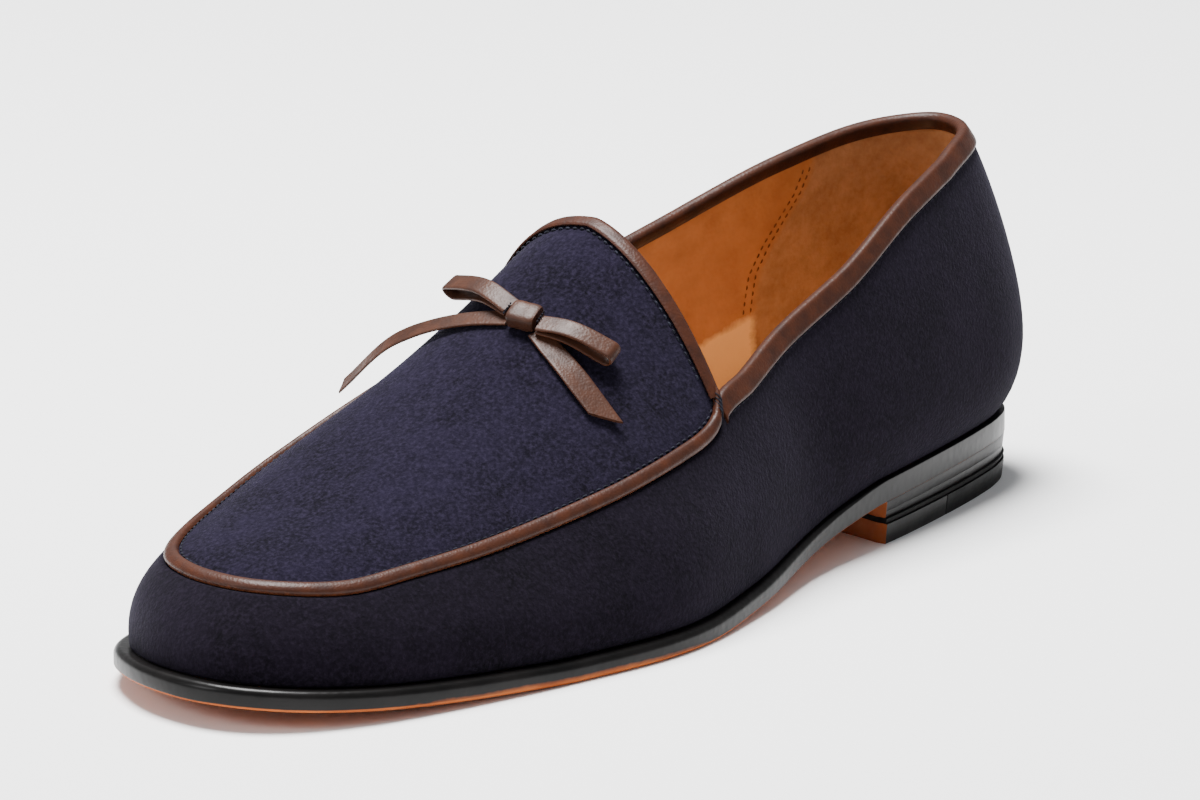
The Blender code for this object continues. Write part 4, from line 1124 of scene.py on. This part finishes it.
sewn = [stitch_row(*inside_line(side, ahead), *LINING_STITCH)
        for side in (OUTER, INNER) for ahead in GRIP_ROWS]
make_piece("lining_stitches", *gather(sewn), [tan_thread], "tan_leather")

# %% [markdown]
# ## Bow
# The bow is tied from one flat ribbon of leather: a short band wrapped round the middle, a loop
# to each side that folds over itself and stays open at its mouth, and a tail to each side, cut at
# a slant. A cloth simulation would slump it, and real leather is stiff. So each ribbon is placed
# over the apron by a few lengths from the knot, and a rounded flat section is swept along it.

# %% Sizes of the bow
KNOT_AT = 0.584 * LAST_LENGTH
KNOT_OFF_RIDGE = 0.0051
KNOT_LENGTH = 0.0072
KNOT_WIDTH = 0.0072
KNOT_HEIGHT = 0.0046
KNOT_SKEW = -0.0008
RIBBON_THICKNESS = 0.0009
LOOP_WIDTH = 0.0052
LOOP_SPREAD = 0.0023
LOOP_LENGTHS = {OUTER: 0.0158, INNER: 0.0198}
TAIL_LENGTHS = {OUTER: 0.0243, INNER: 0.0363}
TAIL_WIDTHS = {OUTER: (0.0050, 0.0066), INNER: (0.0050, 0.0052)}
TAIL_SLANTS = {OUTER: 0.90, INNER: 0.10}
TAIL_STEADY = {OUTER: 0.0, INNER: 0.95}
# As shares of each ribbon's length: along the shoe from the knot, out from it, above the apron
LOOPS = {
    OUTER: ((0.013, 0.000, 0.000), (-0.114, 0.380, 0.025), (-0.348, 1.000, 0.000)),
    INNER: ((-0.040, 0.000, 0.000), (-0.172, 0.455, 0.030), (-0.354, 1.000, 0.071)),
}
TAILS = {
    OUTER: ((0.049, 0.000, 0.004), (0.099, 0.165, 0.008), (0.156, 0.453, 0.016),
            (0.214, 1.000, 0.021)),
    INNER: ((0.028, 0.000, 0.003), (0.074, 0.220, 0.006), (0.127, 0.468, 0.033),
            (0.174, 0.738, 0.127), (0.215, 1.000, 0.344)),
}
RIBBON_POINTS = 28
SIDE_SQUARE, FACE_SQUARE, KNOT_SQUARE = 0.32, 0.7, 0.55
bow_leather = brown_leather("bow_leather", (0.052, 0.0195, 0.0105, 1), (0.027, 0.0100, 0.0058, 1))
print("finish:", bow_leather.name)

# %% Ribbons over the apron
def over_apron(along, out, lift):
    """Give a point above the apron and the apron's normal there, from lengths off the knot."""
    middle = float(last.ridge_out(KNOT_AT)) + KNOT_OFF_RIDGE
    run, turn = (np.array(value) for value in last.side_point(KNOT_AT + along, middle + out))
    way = last.normal(run, turn)
    return last.surface(run, turn) + way * (GAP - APRON_STEP + lift), way


def rounded(at, walked, values):
    """Read a smooth curve through values placed along a walked length."""
    slope = np.gradient(values, walked, axis=0)
    i = np.clip(np.searchsorted(walked, at, side="right") - 1, 0, len(walked) - 2)
    step = (walked[i + 1] - walked[i])[:, None]
    return between(values, slope, i, step, (at - walked[i])[:, None] / step)


def ribbon_path(side, shares, length, base, steps):
    """Give points and normals along a ribbon's middle line."""
    end = KNOT_LENGTH / 2 + 3 * GAP
    places = [tuple(length * share for share in row) for row in shares]
    found = [over_apron(along, side * (end + out), base + lift) for along, out, lift in places]
    points = np.array([point for point, _ in found])
    ways = np.array([way for _, way in found])
    walked = lengths_along(points)
    at = np.linspace(0.0, walked[-1], steps)
    return rounded(at, walked, points), unit(rounded(at, walked, ways))


def ribbon_ring(point, way, along, width=LOOP_WIDTH, slant=0.0, cup=0.0):
    """Give the section of a ribbon: flat, with rounded edges, its edges raised by a cup."""
    across = unit(np.cross(way, along))
    half = width / 2
    ring = []
    for angle in np.linspace(0, 2 * math.pi, RIBBON_POINTS, endpoint=False):
        side = math.copysign(abs(math.cos(angle)) ** SIDE_SQUARE, math.cos(angle)) * half
        high = 0.5 + 0.5 * math.copysign(abs(math.sin(angle)) ** FACE_SQUARE, math.sin(angle))
        lift = RIBBON_THICKNESS * high + cup * (side / half) ** 2
        ring.append(point + across * side + way * lift + along * slant * side)
    return np.array(ring)


print(f"the knot sits {over_apron(0.0, 0.0, 0.0)[0][2] * 1000:.1f} mm above the floor")

# %% Tails
TAIL_CUP = 0.0002
CUT_FROM, WIDE_BY = 0.75, 0.6


def tail(side, steps=60):
    """Give one free end of the bow, which may keep the knot's own way up as it lifts off."""
    points, ways = ribbon_path(side, TAILS[side], TAIL_LENGTHS[side], 0.0, steps)
    hold = TAIL_STEADY[side] * np.clip(np.linspace(0, 2, steps), 0, 1)[:, None]
    ways = unit(ways * (1 - hold) + ways[0] * hold)
    along = unit(np.gradient(points, axis=0))
    share = np.linspace(0, 1, steps)
    cut = TAIL_SLANTS[side] * np.clip((share - CUT_FROM) / (1 - CUT_FROM), 0, 1)
    start, end = TAIL_WIDTHS[side]
    wide = start + (end - start) * np.clip(share / WIDE_BY, 0, 1)
    return loft([ribbon_ring(points[k], ways[k], along[k], wide[k], cut[k], TAIL_CUP)
                 for k in range(steps)], caps=True)


print("a tail has", len(tail(OUTER)[0]), "points")

# %% Loops
FOLD_STEPS = 14


def loop(side, steps=34):
    """Give one loop of the bow: out, folded over, and back on top."""
    base = RIBBON_THICKNESS + GAP
    points, ways = ribbon_path(side, LOOPS[side], LOOP_LENGTHS[side], base, steps)
    along = unit(np.gradient(points, axis=0))
    share = np.linspace(0.0, 1.0, steps)
    open_by = 2 * RIBBON_THICKNESS + GAP + LOOP_SPREAD * np.sin(share * math.pi / 2)
    lower = [(points[k], along[k], ways[k]) for k in range(steps)]
    upper = [(points[k] + ways[k] * open_by[k], -along[k], -ways[k])
             for k in reversed(range(steps))]
    end, way, ahead, radius = points[-1], ways[-1], along[-1], open_by[-1] / 2
    fold = []
    for turn in np.linspace(0, math.pi, FOLD_STEPS)[1:-1]:
        place = end + way * radius * (1 - math.cos(turn)) + ahead * radius * math.sin(turn)
        heading = ahead * math.cos(turn) + way * math.sin(turn)
        fold.append((place, heading, way * math.cos(turn) - ahead * math.sin(turn)))
    rings = [ribbon_ring(place, normal, heading)
             for place, heading, normal in lower + fold + upper]
    return loft(rings, caps=True)


print("a loop has", len(loop(OUTER)[0]), "points")

# %% Knot
KNOT_RINGS, KNOT_POINTS = 25, 56


def knot_frame():
    """Give the knot's place and its directions across, up and along the bow."""
    point, way = over_apron(0.0, 0.0, 0.0)
    side, _ = over_apron(KNOT_SKEW, KNOT_LENGTH / 2, 0.0)
    along = unit(side - point)
    along = unit(along - way * float(along @ way))
    return point, np.cross(way, along), way, along


def knot():
    """Give the short band wrapped round the middle of the bow."""
    point, across, way, along = knot_frame()
    rings = []
    for end in np.linspace(-0.5, 0.5, KNOT_RINGS):
        size = 0.88 + 0.12 * (1 - abs(2 * end) ** 6) - 0.02 * math.exp(-((end / 0.10) ** 2))
        ring = []
        for angle in np.linspace(0, 2 * math.pi, KNOT_POINTS, endpoint=False):
            wide, tall = (math.copysign(abs(v) ** KNOT_SQUARE, v)
                          for v in (math.cos(angle), math.sin(angle)))
            ring.append(point + across * KNOT_WIDTH / 2 * size * wide + along * end * KNOT_LENGTH
                        + way * KNOT_HEIGHT / 2 * (1 + size * tall))
        rings.append(np.array(ring))
    return loft(rings, caps=True)


print("the knot has", len(knot()[0]), "points")

# %% The bow's pieces
on_edge = np.abs(np.cos(np.linspace(0, 2 * math.pi, RIBBON_POINTS, endpoint=False))) > 0.985
for name, (points, faces) in (("bow_knot", knot()),
                              ("bow_loop_outer", loop(OUTER)), ("bow_loop_inner", loop(INNER)),
                              ("bow_tail_outer", tail(OUTER)), ("bow_tail_inner", tail(INNER))):
    edges = 0.0 if name == "bow_knot" else np.tile(on_edge, len(points) // RIBBON_POINTS) * 0.9
    make_piece(name + "_leather", points, faces, [bow_leather], "brown_leather", (name,),
               paints={"rim": edges})

# %% [markdown]
# ## Stitches beside the knot and tacks at the throat
# Two short rows hold the bow beside its knot, and a bar of close threads holds each corner of the
# throat, where the shoe is pulled most when it is put on. They use the same helper as the long
# rows.

# %% Knot stitches and tacks
SEWN_THREAD = 0.00045
KNOT_ROW = (0.00088, 0.00065, SEWN_THREAD)
KNOT_ROW_HALF = 0.0022
TACK_PITCH = 0.00045
TACK_THREADS = 4
TACK_IN, TACK_PAST = 0.0012, 0.0010
SEW_POINTS = 12
point, across, way, along = knot_frame()
sewn = []
for end in (-1, 1):
    middle = point + along * end * (KNOT_LENGTH / 2 + 0.0010)
    middle = middle + way * (2 * GAP + 3 * RIBBON_THICKNESS + 0.0002)
    line = middle + across * np.linspace(-KNOT_ROW_HALF, KNOT_ROW_HALF, SEW_POINTS)[:, None]
    sewn.append(stitch_row(line, np.tile(way, (SEW_POINTS, 1)), *KNOT_ROW))
for side in (OUTER, INNER):
    for shift in np.arange(TACK_THREADS) * TACK_PITCH:
        run = last.run_at(CORNER_AT + TACK_IN + shift, side)
        up = np.linspace(-TACK_IN, APRON_BAND + TACK_PAST, SEW_POINTS)
        share = np.clip((up - GAP) / (APRON_BAND - GAP), 0, 1)
        line = last.place(run, up, (BEAD_HEIGHT + 0.0002) * np.sin(share * math.pi) ** 0.7)
        tack_way = last.normal(np.array(run), np.array(last.edge_turn(run, -0.002)))
        whole = lengths_along(line)[-1]
        sewn.append(stitch_row(line, np.tile(tack_way, (SEW_POINTS, 1)), whole * 0.99,
                               whole * 0.97, SEWN_THREAD))
make_piece("bow_stitches_and_tacks", *gather(sewn), [dark_thread], "navy_suede")

# %% [markdown]
# ## Sole
# The sole is one layer of leather with a rounded edge, dyed black and burnished, a little wider
# than the shoe. A thin bevel below keeps the leather's own colour. Both it and the sock are
# plates that follow the underside of the last: arch, ball and toe spring. A painted mask says
# where the dye stops, and the rub group keeps that line from being ruler straight.

# %% Black edge with the leather's own colour below
edge_leather, tree, shader, place = start_material(
    "black_edge", coat_roughness=0.26, specular_ior_level=0.11)
grain = use_group(tree, grain_tree, vector=place, pore_scale=500.0)
raw = use_group(tree, rub_tree, vector=place, mask=painted(tree, "raw"), scale=160.0,
                raggedness=0.07)
black = blend(tree, grain["Tone"], (0.0020, 0.0018, 0.0018, 1), (0.0060, 0.0052, 0.0050, 1))
own = blend(tree, grain["Tone"], (0.280, 0.064, 0.014, 1), (0.400, 0.110, 0.028, 1))
lay_finish(tree, shader, blend(tree, raw["Mask"], black, own), (raw["Mask"], 0.34, 0.65),
           grain["Height"], 0.0003, 0.5)
tree.links.new(spread_out(tree, raw["Mask"], 0, 1, 0.06, 0.0), shader.inputs["Coat Weight"])
print("finish:", edge_leather.name)

# %% Plates
SOLE_ROUND = 0.0019
SOLE_BEVEL = 0.0010
RIM_STRIP = 0.0030
TUCK = 0.0004
EDGE_POINTS = 9
# Where the sole's edge goes from square to rounded, as shares of the length, and its least round
ROUND_FROM, ROUND_OVER, LEAST_ROUND = 0.26, 0.16, 0.12
AHEAD_WIDE, BEHIND_WIDE = stations(44, 60, 34, 44)


def plate(rows):
    """Give a plate from rows of inset from the feather line and of height over X."""
    runs = np.concatenate([AHEAD_WIDE, BEHIND_WIDE])
    foot, way = last.feather(runs), last.outward(runs)
    rings = []
    for inset, height in rows:
        flat = foot - way * inset(foot[:, 0])[:, None]
        rings.append(np.column_stack([flat, height(np.clip(flat[:, 0], 0, LAST_LENGTH))]))
    points, faces = loft(rings)
    count, front = len(runs), len(AHEAD_WIDE)
    for base in (0, (len(rows) - 1) * count):
        pairs = [(count - 1 - i, front + i) for i in range((count - front) // 2)][::-1]
        pairs += [(i, front - 1 - i) for i in range(front // 2)]
        for (a, b), (c, d) in zip(pairs[:-1], pairs[1:]):
            faces.append((base + a, base + b, base + d, base + c))
    return points, faces


print("a plate has", len(AHEAD_WIDE) + len(BEHIND_WIDE), "points round it")

# %% Sole
def sole():
    """Give the leather sole, whose edge is square over the heel and rounded ahead of it."""
    def rolled(x):
        share = np.clip((x / LAST_LENGTH - ROUND_FROM) / ROUND_OVER, 0, 1)
        return LEAST_ROUND + (1 - LEAST_ROUND) * share

    bevel = [(SOLE_BEVEL + RIM_STRIP, 0.0), (SOLE_BEVEL, 0.0),
             (SOLE_BEVEL * 0.45, SOLE_BEVEL * 0.28), (SOLE_BEVEL * 0.12, SOLE_BEVEL * 0.65),
             (0.0, SOLE_BEVEL)]
    rows = [(lambda x, inset=inset: inset * rolled(x) - last.ledge(x),
             lambda x, high=high: last.bottom(x) + high * rolled(x)) for inset, high in bevel]
    for angle in np.linspace(0, UPRIGHT, EDGE_POINTS):
        inset, deep = SOLE_ROUND * (1 - math.cos(angle)), SOLE_ROUND * (1 - math.sin(angle))
        rows.append((lambda x, inset=inset: inset * rolled(x) - last.ledge(x),
                     lambda x, deep=deep: last.seat(x) - deep * rolled(x)))
    rows.append((lambda x: UPPER_WALL - TUCK + 0 * x, last.seat))
    rows.append((lambda x: UPPER_WALL + RIM_STRIP + 0 * x, last.seat))
    return plate(rows)


points, faces = sole()
row = np.arange(len(points)) // (len(AHEAD_WIDE) + len(BEHIND_WIDE))
bevel_reach = 0.35 + 0.65 * np.exp(-(((points[:, 0] / LAST_LENGTH - 0.72) / 0.22) ** 2))
raw_mask = np.select([row <= 2, row == 3, row == 4], [1.0, bevel_reach, bevel_reach - 0.35], 0.0)
make_piece("sole_leather", points, faces, [edge_leather], "black_edge", ("outsole",),
           paints={"raw": raw_mask})

# %% [markdown]
# ## Sock
# The sock is the soft padded sheet that the foot rests on, a paler leather than the lining. It is
# a plate like the sole, domed at its rim, because a flat sheet would show a hard line at the
# wall.

# %% Sock
INSOLE_THICKNESS = 0.0025
# Inset and height of the sock's rim, as shares of its thickness
SOCK_RIM = ((0.0, 0.0), (0.0, 0.5), (0.08, 0.72), (0.30, 0.90), (0.75, 1.0), (2.2, 1.0))
sock_leather, tree, shader, place = start_material("sock_leather", specular_ior_level=0.3)
grain = use_group(tree, grain_tree, vector=place, pore_scale=1000.0)
nap = use_group(tree, nap_tree, vector=place, speck_scale=700.0, patch_scale=60.0)
tone = blend(tree, nap["Mottle"], (0.640, 0.380, 0.170, 1), (0.760, 0.480, 0.240, 1))
lay_finish(tree, shader, tone, (grain["Tone"], 0.55, 0.70), grain["Height"], 0.0002, 0.5)


def sock():
    """Give the padded sock, a little domed at its rim."""
    inset = UPPER_WALL + 3 * GAP
    return plate([(lambda x, more=more: inset + more * INSOLE_THICKNESS + 0 * x,
                   lambda x, high=high: last.seat(x) + GAP + high * INSOLE_THICKNESS)
                  for more, high in SOCK_RIM])


make_piece("sock", *sock(), [sock_leather], "tan_leather", ("insole",))

# %% [markdown]
# ## Heel
# The heel is stacked from leather lifts, blackened at the side. Its front face, the breast, is
# cut hollow and left in the leather's own colour. The last layer has a rubber piece at the back,
# where the heel strikes the ground. One block with painted lines could show the layers, but a
# joint is a real step that takes a shadow, so each layer is its own outline swept up, with small
# rounded rims.

# %% Heel leathers and rubber
heel_leather = plain_leather(
    "stacked_leather", 450.0, (0.0045, 0.0040, 0.0040, 1), (0.0110, 0.0098, 0.0092, 1),
    (0.42, 0.32), (0.0002, 0.5), coat_weight=0.03, coat_roughness=0.26, specular_ior_level=0.11)
raw_leather = plain_leather(
    "natural_leather", 700.0, (0.260, 0.064, 0.016, 1), (0.380, 0.112, 0.032, 1),
    (0.60, 0.48), (0.0003, 0.5), specular_ior_level=0.35)
rubber = plain_leather(
    "rubber", 900.0, (0.0022, 0.0021, 0.0021, 1), (0.0055, 0.0052, 0.0050, 1),
    (0.62, 0.50), (0.0002, 0.4), specular_ior_level=0.12)
print("finishes:", heel_leather.name, raw_leather.name, rubber.name)

# %% Heel outline
HEEL_LENGTH = 0.0775
BREAST_RADIUS = 0.144
BREAST_POINTS = 24
RUBBER_LENGTH = 0.047
SIDE_POINTS = 26
ROUND_POINTS = 50


def breast_line(out):
    """Give the X of the hollow breast at a Y."""
    outer = last.feather(last.run_at(HEEL_LENGTH, OUTER))[1]
    inner = last.feather(last.run_at(HEEL_LENGTH, INNER))[1]
    reach = math.sqrt(BREAST_RADIUS**2 - ((outer - inner) / 2) ** 2)
    return HEEL_LENGTH + reach - np.sqrt(BREAST_RADIUS**2 - (out - (outer + inner) / 2) ** 2)


def heel_side(x, side, inset):
    """Give the heel's edge at an X on one side."""
    run = last.run_at(x, side)
    foot = last.feather(run)
    return foot + last.outward(run) * (last.ledge(foot[0]) - inset)


def heel_corner(side, inset):
    """Give the X on the feather line where the breast meets one side."""
    x = HEEL_LENGTH
    for _ in range(8):
        edge = heel_side(x, side, inset)
        x += float(breast_line(edge[1])) - edge[0]
    return x


def heel_ring(inset, hollow_front=True, rear=0.0):
    """Give a heel layer's outline, with the points of its front face last."""
    stop = rear if rear else HEEL_CENTRE
    sides = {}
    for side in (OUTER, INNER):
        front = heel_corner(side, inset) if hollow_front else RUBBER_LENGTH
        sides[side] = [heel_side(x, side, inset) for x in np.linspace(front, stop, SIDE_POINTS)]
    outline = sides[INNER]
    if rear:
        sides[OUTER][-1][0] = sides[INNER][-1][0] = rear
    else:
        first = last.run_at(stop, INNER)
        after = last.run_at(stop, OUTER) + last.around
        runs = np.linspace(first, after, ROUND_POINTS + 2)[1:-1]
        foot = last.feather(runs)
        reach = last.ledge(foot[:, 0]) - inset
        outline = outline + list(foot + last.outward(runs) * reach[:, None])
    outline = outline + sides[OUTER][::-1]
    out = np.linspace(outline[-1][1], outline[0][1], BREAST_POINTS + 2)[1:-1]
    front = breast_line(out) + inset if hollow_front else np.full(len(out), outline[-1][0])
    return np.vstack([outline, np.column_stack([front, out])])


print("the breast meets the outer side at", round(heel_corner(OUTER, 0.0) * 1000, 1), "mm")

# %% Heel layers
HEEL_INSET = 0.0001
HEEL_TAPER = 0.0006
TOP_LIFT = 0.0052
DARK_LIFT = 0.0012
STACK_GROOVE = 0.42
LAYER_GAP = 0.00006
LOW_RIM, HIGH_RIM, RIM_SHARE = 0.00012, 0.00010, 0.04
GROOVE_DEPTH, GROOVE_HALF = 0.00005, 0.02


def heel_layer(low, high, grooves=(), **shape):
    """Give one heel layer between two heights, with rounded rims, and its faces on the breast."""
    levels = [(0.0, LOW_RIM), (RIM_SHARE, 0.0)]
    for groove in grooves:
        levels += [(groove - GROOVE_HALF, 0.0), (groove, GROOVE_DEPTH), (groove + GROOVE_HALF, 0.0)]
    levels += [(1 - RIM_SHARE, 0.0), (1.0, HIGH_RIM)]
    rings = []
    for share, cut in levels:
        ring = heel_ring(HEEL_INSET + HEEL_TAPER * (1 - share) + cut, **shape)
        bottom, top = low(ring[:, 0]), high(ring[:, 0])
        rings.append(np.column_stack([ring, bottom + (top - bottom) * share]))
    points, faces = loft(rings, caps=True)
    count = len(rings[0])
    front = [(face[0] % count >= count - BREAST_POINTS - 1) and len(face) == 4 for face in faces]
    return points, faces, np.array(front, int)


def flat(height):
    """Give a level height over any X."""
    return lambda x: height + 0 * x


def under_sole(x):
    """Give the height just under the sole."""
    return last.bottom(np.clip(x, 0, LAST_LENGTH)) - LAYER_GAP


dark_top = TOP_LIFT + GAP + DARK_LIFT
leathers, rubbers = [heel_leather, raw_leather], [rubber, rubber]
joint = RUBBER_LENGTH + 2 * LAYER_GAP
for name, low, high, finishes, slot, shape in (
        ("heel_stack", flat(dark_top + LAYER_GAP), under_sole, leathers, "stacked_leather",
         {"grooves": (STACK_GROOVE,)}),
        ("heel_dark_lift", flat(TOP_LIFT + LAYER_GAP), flat(dark_top), rubbers, "rubber", {}),
        ("heel_top_piece", flat(0.0), flat(TOP_LIFT), leathers, "natural_leather", {"rear": joint}),
        ("heel_rubber", flat(0.0), flat(TOP_LIFT), rubbers, "rubber", {"hollow_front": False})):
    points, faces, breast = heel_layer(low, high, **shape)
    make_piece(name + "_layer", points, faces, finishes, slot, (name,), indices=breast)

# %% [markdown]
# ## Floor, light and camera
# The shoe stands on a pale floor under one large soft light from above, with a weaker one from
# the side and a pale surround, as in a plain studio. The camera stands off at the front quarter
# on the outer side, with a long lens.

# %% Stage
REACH = 8.0
corners = [(x * REACH, y * REACH, 0) for x, y in ((-1, -1), (1, -1), (1, 1), (-1, 1))]
floor_mesh = bpy.data.meshes.new("floor")
floor_mesh.from_pydata(corners, [], [(0, 1, 2, 3)])
floor = bpy.data.objects.new("floor", floor_mesh)
bpy.context.scene.collection.objects.link(floor)
paper, tree, shader, place = start_material("floor_paper", roughness=0.9, specular_ior_level=0.1)
shader.inputs["Base Color"].default_value = (0.90, 0.90, 0.90, 1)
floor_mesh.materials.append(paper)

world = bpy.data.worlds.new("studio")
bpy.context.scene.world = world
world.use_nodes = True
world.node_tree.nodes["Background"].inputs[0].default_value = (0.95, 0.97, 1.0, 1)
world.node_tree.nodes["Background"].inputs[1].default_value = 0.45

centre = (Vector(CAD_BOX[0]) + Vector(CAD_BOX[1])) / 2


def soft_light(name, place, size, power):
    """Add one large soft light aimed at the shoe."""
    lamp = bpy.data.lights.new(name, "AREA")
    lamp.shape = "DISK"
    lamp.size = size
    lamp.energy = power
    light = bpy.data.objects.new(name, lamp)
    light.location = Vector(place)
    light.rotation_euler = (centre - light.location).to_track_quat("-Z", "Y").to_euler()
    bpy.context.scene.collection.objects.link(light)


soft_light("overhead", (-0.05, -0.30, 1.5), 0.8, 100.0)
soft_light("front", (1.5, -0.6, 0.9), 0.6, 10.0)
print("floor, surround and two soft lights")

# %% Camera
CAMERA_PLACE = Vector((1.9863, 1.4694, 0.6933))
LENS = 300.0
view = bpy.data.cameras.new("camera")
view.lens = LENS
view.clip_end = 50.0
camera = bpy.data.objects.new("camera", view)
camera.location = CAMERA_PLACE + Vector(MOVE)
camera.rotation_euler = (centre - camera.location).to_track_quat("-Z", "Y").to_euler()
bpy.context.scene.collection.objects.link(camera)
bpy.context.scene.camera = camera
print("camera at", [round(value, 3) for value in camera.location], "m with a lens of", LENS, "mm")
